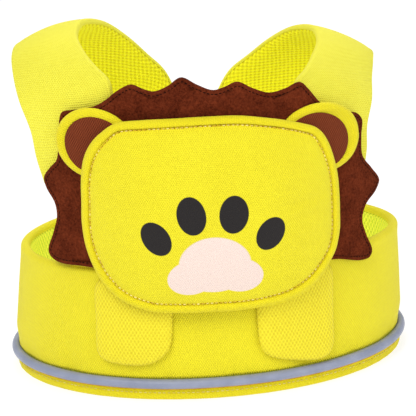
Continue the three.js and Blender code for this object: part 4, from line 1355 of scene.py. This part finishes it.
# %% Stitch tree
def stitch_tree():
    """A capsule at each step of a path, turned along it and away from the cloth."""
    tree, given, made = new_tree("stitch_run", [
        ("Pitch", "Float"), ("Stitch length", "Float"), ("Thread", "Float"), ("Seed", "Int"),
        ("Finish", "Material")])
    curve, steps, laid, realize, soft, paint, tangent, outward, capsule = (
        tree.nodes.new("GeometryNode" + kind) for kind in (
            "MeshToCurve", "ResampleCurve", "InstanceOnPoints", "RealizeInstances", "SetShadeSmooth",
            "SetMaterial", "InputTangent", "InputNamedAttribute", "MeshUVSphere"))
    along, facing, uneven, size, sized = (
        tree.nodes.new(kind) for kind in (
            "FunctionNodeAlignRotationToVector", "FunctionNodeAlignRotationToVector",
            "FunctionNodeRandomValue", "ShaderNodeCombineXYZ", "ShaderNodeVectorMath"))
    steps.mode, sized.operation = "LENGTH", "SCALE"
    outward.data_type, uneven.data_type = "FLOAT_VECTOR", "FLOAT"
    outward.inputs["Name"].default_value = "outward"
    along.axis, facing.axis, facing.pivot_axis = "X", "Z", "X"
    for socket, value in (("Segments", 8), ("Rings", 6), ("Radius", 0.5)):
        capsule.inputs[socket].default_value = value
    uneven.inputs[2].default_value, uneven.inputs[3].default_value = 0.88, 1.1
    for start, end in (
        (given.outputs["Path"], curve.inputs[0]), (curve.outputs[0], steps.inputs["Curve"]),
        (given.outputs["Pitch"], steps.inputs["Length"]), (tangent.outputs[0], along.inputs["Vector"]),
        (along.outputs[0], facing.inputs["Rotation"]),
        (outward.outputs["Attribute"], facing.inputs["Vector"]),
        (steps.outputs[0], laid.inputs["Points"]), (capsule.outputs["Mesh"], laid.inputs["Instance"]),
        (facing.outputs[0], laid.inputs["Rotation"]), (given.outputs["Stitch length"], size.inputs["X"]),
        (given.outputs["Thread"], size.inputs["Y"]), (given.outputs["Thread"], size.inputs["Z"]),
        (given.outputs["Seed"], uneven.inputs["Seed"]), (size.outputs[0], sized.inputs[0]),
        (uneven.outputs[1], sized.inputs["Scale"]), (sized.outputs[0], laid.inputs["Scale"]),
        (laid.outputs[0], realize.inputs[0]), (realize.outputs[0], soft.inputs[0]),
        (soft.outputs[0], paint.inputs["Geometry"]), (given.outputs["Finish"], paint.inputs["Material"]),
        (paint.outputs[0], made.inputs[0]),
    ):
        tree.links.new(start, end)
    return tree


STITCHES = stitch_tree()


def stitch(name, path, above, material, pitch, length, thread, closed=False, seed=1):
    """A run of stitches on points in mm. above is the same path a little further off the cloth."""
    path, above = settled(path), settled(above)
    outward = above - path
    outward /= np.linalg.norm(outward, axis=-1)[:, None]
    values = {"Pitch": pitch * MM, "Stitch length": length * MM, "Thread": thread * MM,
              "Seed": seed, "Finish": material}
    return sewn(grown(name, STITCHES, path, values, outward, closed), None, material)


# %% Stitch runs
FLAP_PITCH = 2.4
line = from_foot(even(flap_outline, 600))
u, v = (line + inward_of(line) * (STITCH_INSET - 0.95 * at_top(line))).T
face = flap_face(0.6, 1)(u, v)
stitch("stitches_flap", wrap(u, v, face + 0.12), wrap(u, v, face + 2), thread_cream,
       FLAP_PITCH, 1.5, 0.66, closed=True, seed=4)
# dark ochre marks between the stitches: painted shade in the needle holes
u, v, face = (np.roll(values, -2) for values in (u, v, face))
stitch("hole_shade_flap", wrap(u, v, face + 0.02), wrap(u, v, face + 2), hole_shade_ochre,
       FLAP_PITCH, 0.95, 0.6, closed=True, seed=8)

stitch("stitches_hem", around(turn, HEM_STITCH, 0), around(turn, HEM_STITCH, 2),
       thread_hem, 2.6, 1.9, 0.5, seed=5)

u, v = ruff_outline(inset=2.2).T
shown = (np.abs(u) > 66) | (v > 80)
u, v = u[shown], v[shown]
face = felt_front(0)(u, v)
stitch("stitches_ruff", wrap(u, v, face - 0.2), wrap(u, v, face + 2), thread_dark,
       2.1, 1.6, 0.55, seed=6)

# %% [markdown]
# ## Closure
# On the far side the band's two ends meet at a clasp. Each end carries a loop of webbing that
# goes through the clasp's slot and back over its bar.

# %% Webbing
WEBBING_WIDTH, WEBBING_THICKNESS, WEBBING_LENGTH, WEBBING_MIDDLE = 25, 1.3, 58, 38
CLASP_LENGTH, CLASP_THICKNESS, CLASP_BAR = 52, 6.5, 4.5
BEND, RIB = 1.1, 1.7


def closure_place(u, n, v):
    """A place on the far side: flat beside the clasp, and on the band beyond it."""
    u, n, v = np.broadcast_arrays(u, n, v)
    flat = np.stack([u, -face_at(v)[1] - n, v], -1)
    away = smooth((np.abs(u) - CLASP_LENGTH / 2) / (WEBBING_LENGTH - CLASP_LENGTH / 2))
    return (flat + (wrap(u, v, n) - flat) * away[..., None]) * (-1, -1, 1)


def loop_line(count):
    """The webbing's middle line, from the band through the slot, over the bar and back."""
    half = WEBBING_THICKNESS / 2
    low, front = CLEARANCE + half, 3 * CLEARANCE + WEBBING_THICKNESS + CLASP_THICKNESS + half
    near, far = CLASP_LENGTH / 2 - CLASP_BAR - CLEARANCE - half, CLASP_LENGTH / 2 + CLEARANCE + half
    corners = np.array([(WEBBING_LENGTH, low), (near, low), (near, front), (far, front),
                        (far, low + 2 * half), (far + 7 * half, low + 2 * half)])
    line = [corners[:1]]
    for before, corner, after in zip(corners, corners[1:], corners[2:]):
        start, end = (corner + (p - corner) / np.linalg.norm(p - corner) * BEND for p in (before, after))
        share = np.linspace(0, 1, 9)[:, None]
        line.append((1 - share) ** 2 * start + 2 * share * (1 - share) * corner + share ** 2 * end)
    return stepped(np.concatenate([*line, corners[-1:]]), count)


half = WEBBING_THICKNESS / 2
line, along = loop_line(200)
ahead = np.gradient(line, axis=0)
off = pairs(-ahead[:, 1], ahead[:, 0]) / np.linalg.norm(ahead, axis=1)[:, None]
turns = np.linspace(-1, 1, 7) * math.pi / 2
reach = WEBBING_WIDTH / 2 - half
flat_run = np.linspace(-reach, reach, 30)[1:-1]
across = np.concatenate([flat_run, reach + np.cos(turns) * half,
                         flat_run[::-1], -reach - np.cos(turns) * half])
face = np.concatenate([0 * flat_run - 1, np.sin(turns), 0 * flat_run + 1, -np.sin(turns)])
ribs = 0.07 * np.cos(2 * math.pi * along / RIB)[:, None] + 0.05 * np.cos(2 * math.pi * across / 2.1)
height = face * (half - 0.1 + ribs)
u, n = (line[:, axis, None] + off[:, axis, None] * height for axis in (0, 1))
for side, hand in ((-1, "left"), (1, "right")):
    webbing = skin(f"webbing_{hand}", closure_place(-side * u, n, WEBBING_MIDDLE + across))
    sewn(webbing, f"closure_webbing_{hand}", webbing_black)

# %% Clasp
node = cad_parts["chest_clasp"]
node.data.materials.clear()
node.data.materials.append(clasp_black)

# %% [markdown]
# ## Floor and light
# The picture has a seamless white ground and large soft lights, so nothing casts a hard shadow.

# %% Floor and light
FLOOR_HALF_SIDE, FLOOR_DROP, GROUND_GREY, GROUND_GLOW, ROOM_LIGHT = 6, 0.0004, 0.35, 0.75, 0.525
floor_mesh = bpy.data.meshes.new("floor")
corners = [(x * FLOOR_HALF_SIDE, y * FLOOR_HALF_SIDE, -FLOOR_DROP)
           for x, y in ((-1, -1), (1, -1), (1, 1), (-1, 1))]
floor_mesh.from_pydata(corners, [], [(0, 1, 2, 3)])
floor = put("floor", floor_mesh)
ground, tree, shader = finish_named("ground_white", 0.9, specular=0.0)
shader.inputs["Base Color"].default_value = (GROUND_GREY, GROUND_GREY, GROUND_GREY, 1)
shader.inputs["Emission Color"].default_value = (1, 1, 1, 1)
shader.inputs["Emission Strength"].default_value = GROUND_GLOW
floor_mesh.materials.append(ground)

world = bpy.data.worlds.new("studio")
bpy.context.scene.world = world
world.use_nodes = True
tree = world.node_tree
backdrop = tree.nodes["Background"]
backdrop.inputs[0].default_value = (1, 1, 1, 1)
seen = tree.nodes.new("ShaderNodeLightPath").outputs["Is Camera Ray"]
tree.links.new(calc(tree, "MULTIPLY_ADD", seen, 1 - ROOM_LIGHT, ROOM_LIGHT), backdrop.inputs[1])
bpy.context.scene.view_settings.view_transform = "Standard"


def soft_light(name, spot, side, power):
    """A square light that faces the object."""
    light = put(name, bpy.data.lights.new(name, "AREA"))
    light.data.size, light.data.energy = side, power
    light.location = spot
    light.rotation_euler = (Vector((0, 0, 0.08)) - Vector(spot)).to_track_quat("-Z", "Y").to_euler()


soft_light("key", (-0.55, -1.0, 1.25), 0.8, 11)
soft_light("fill", (1.0, -0.9, 0.6), 1.0, 4)
soft_light("rear", (0.1, 0.9, 1.3), 0.9, 8)
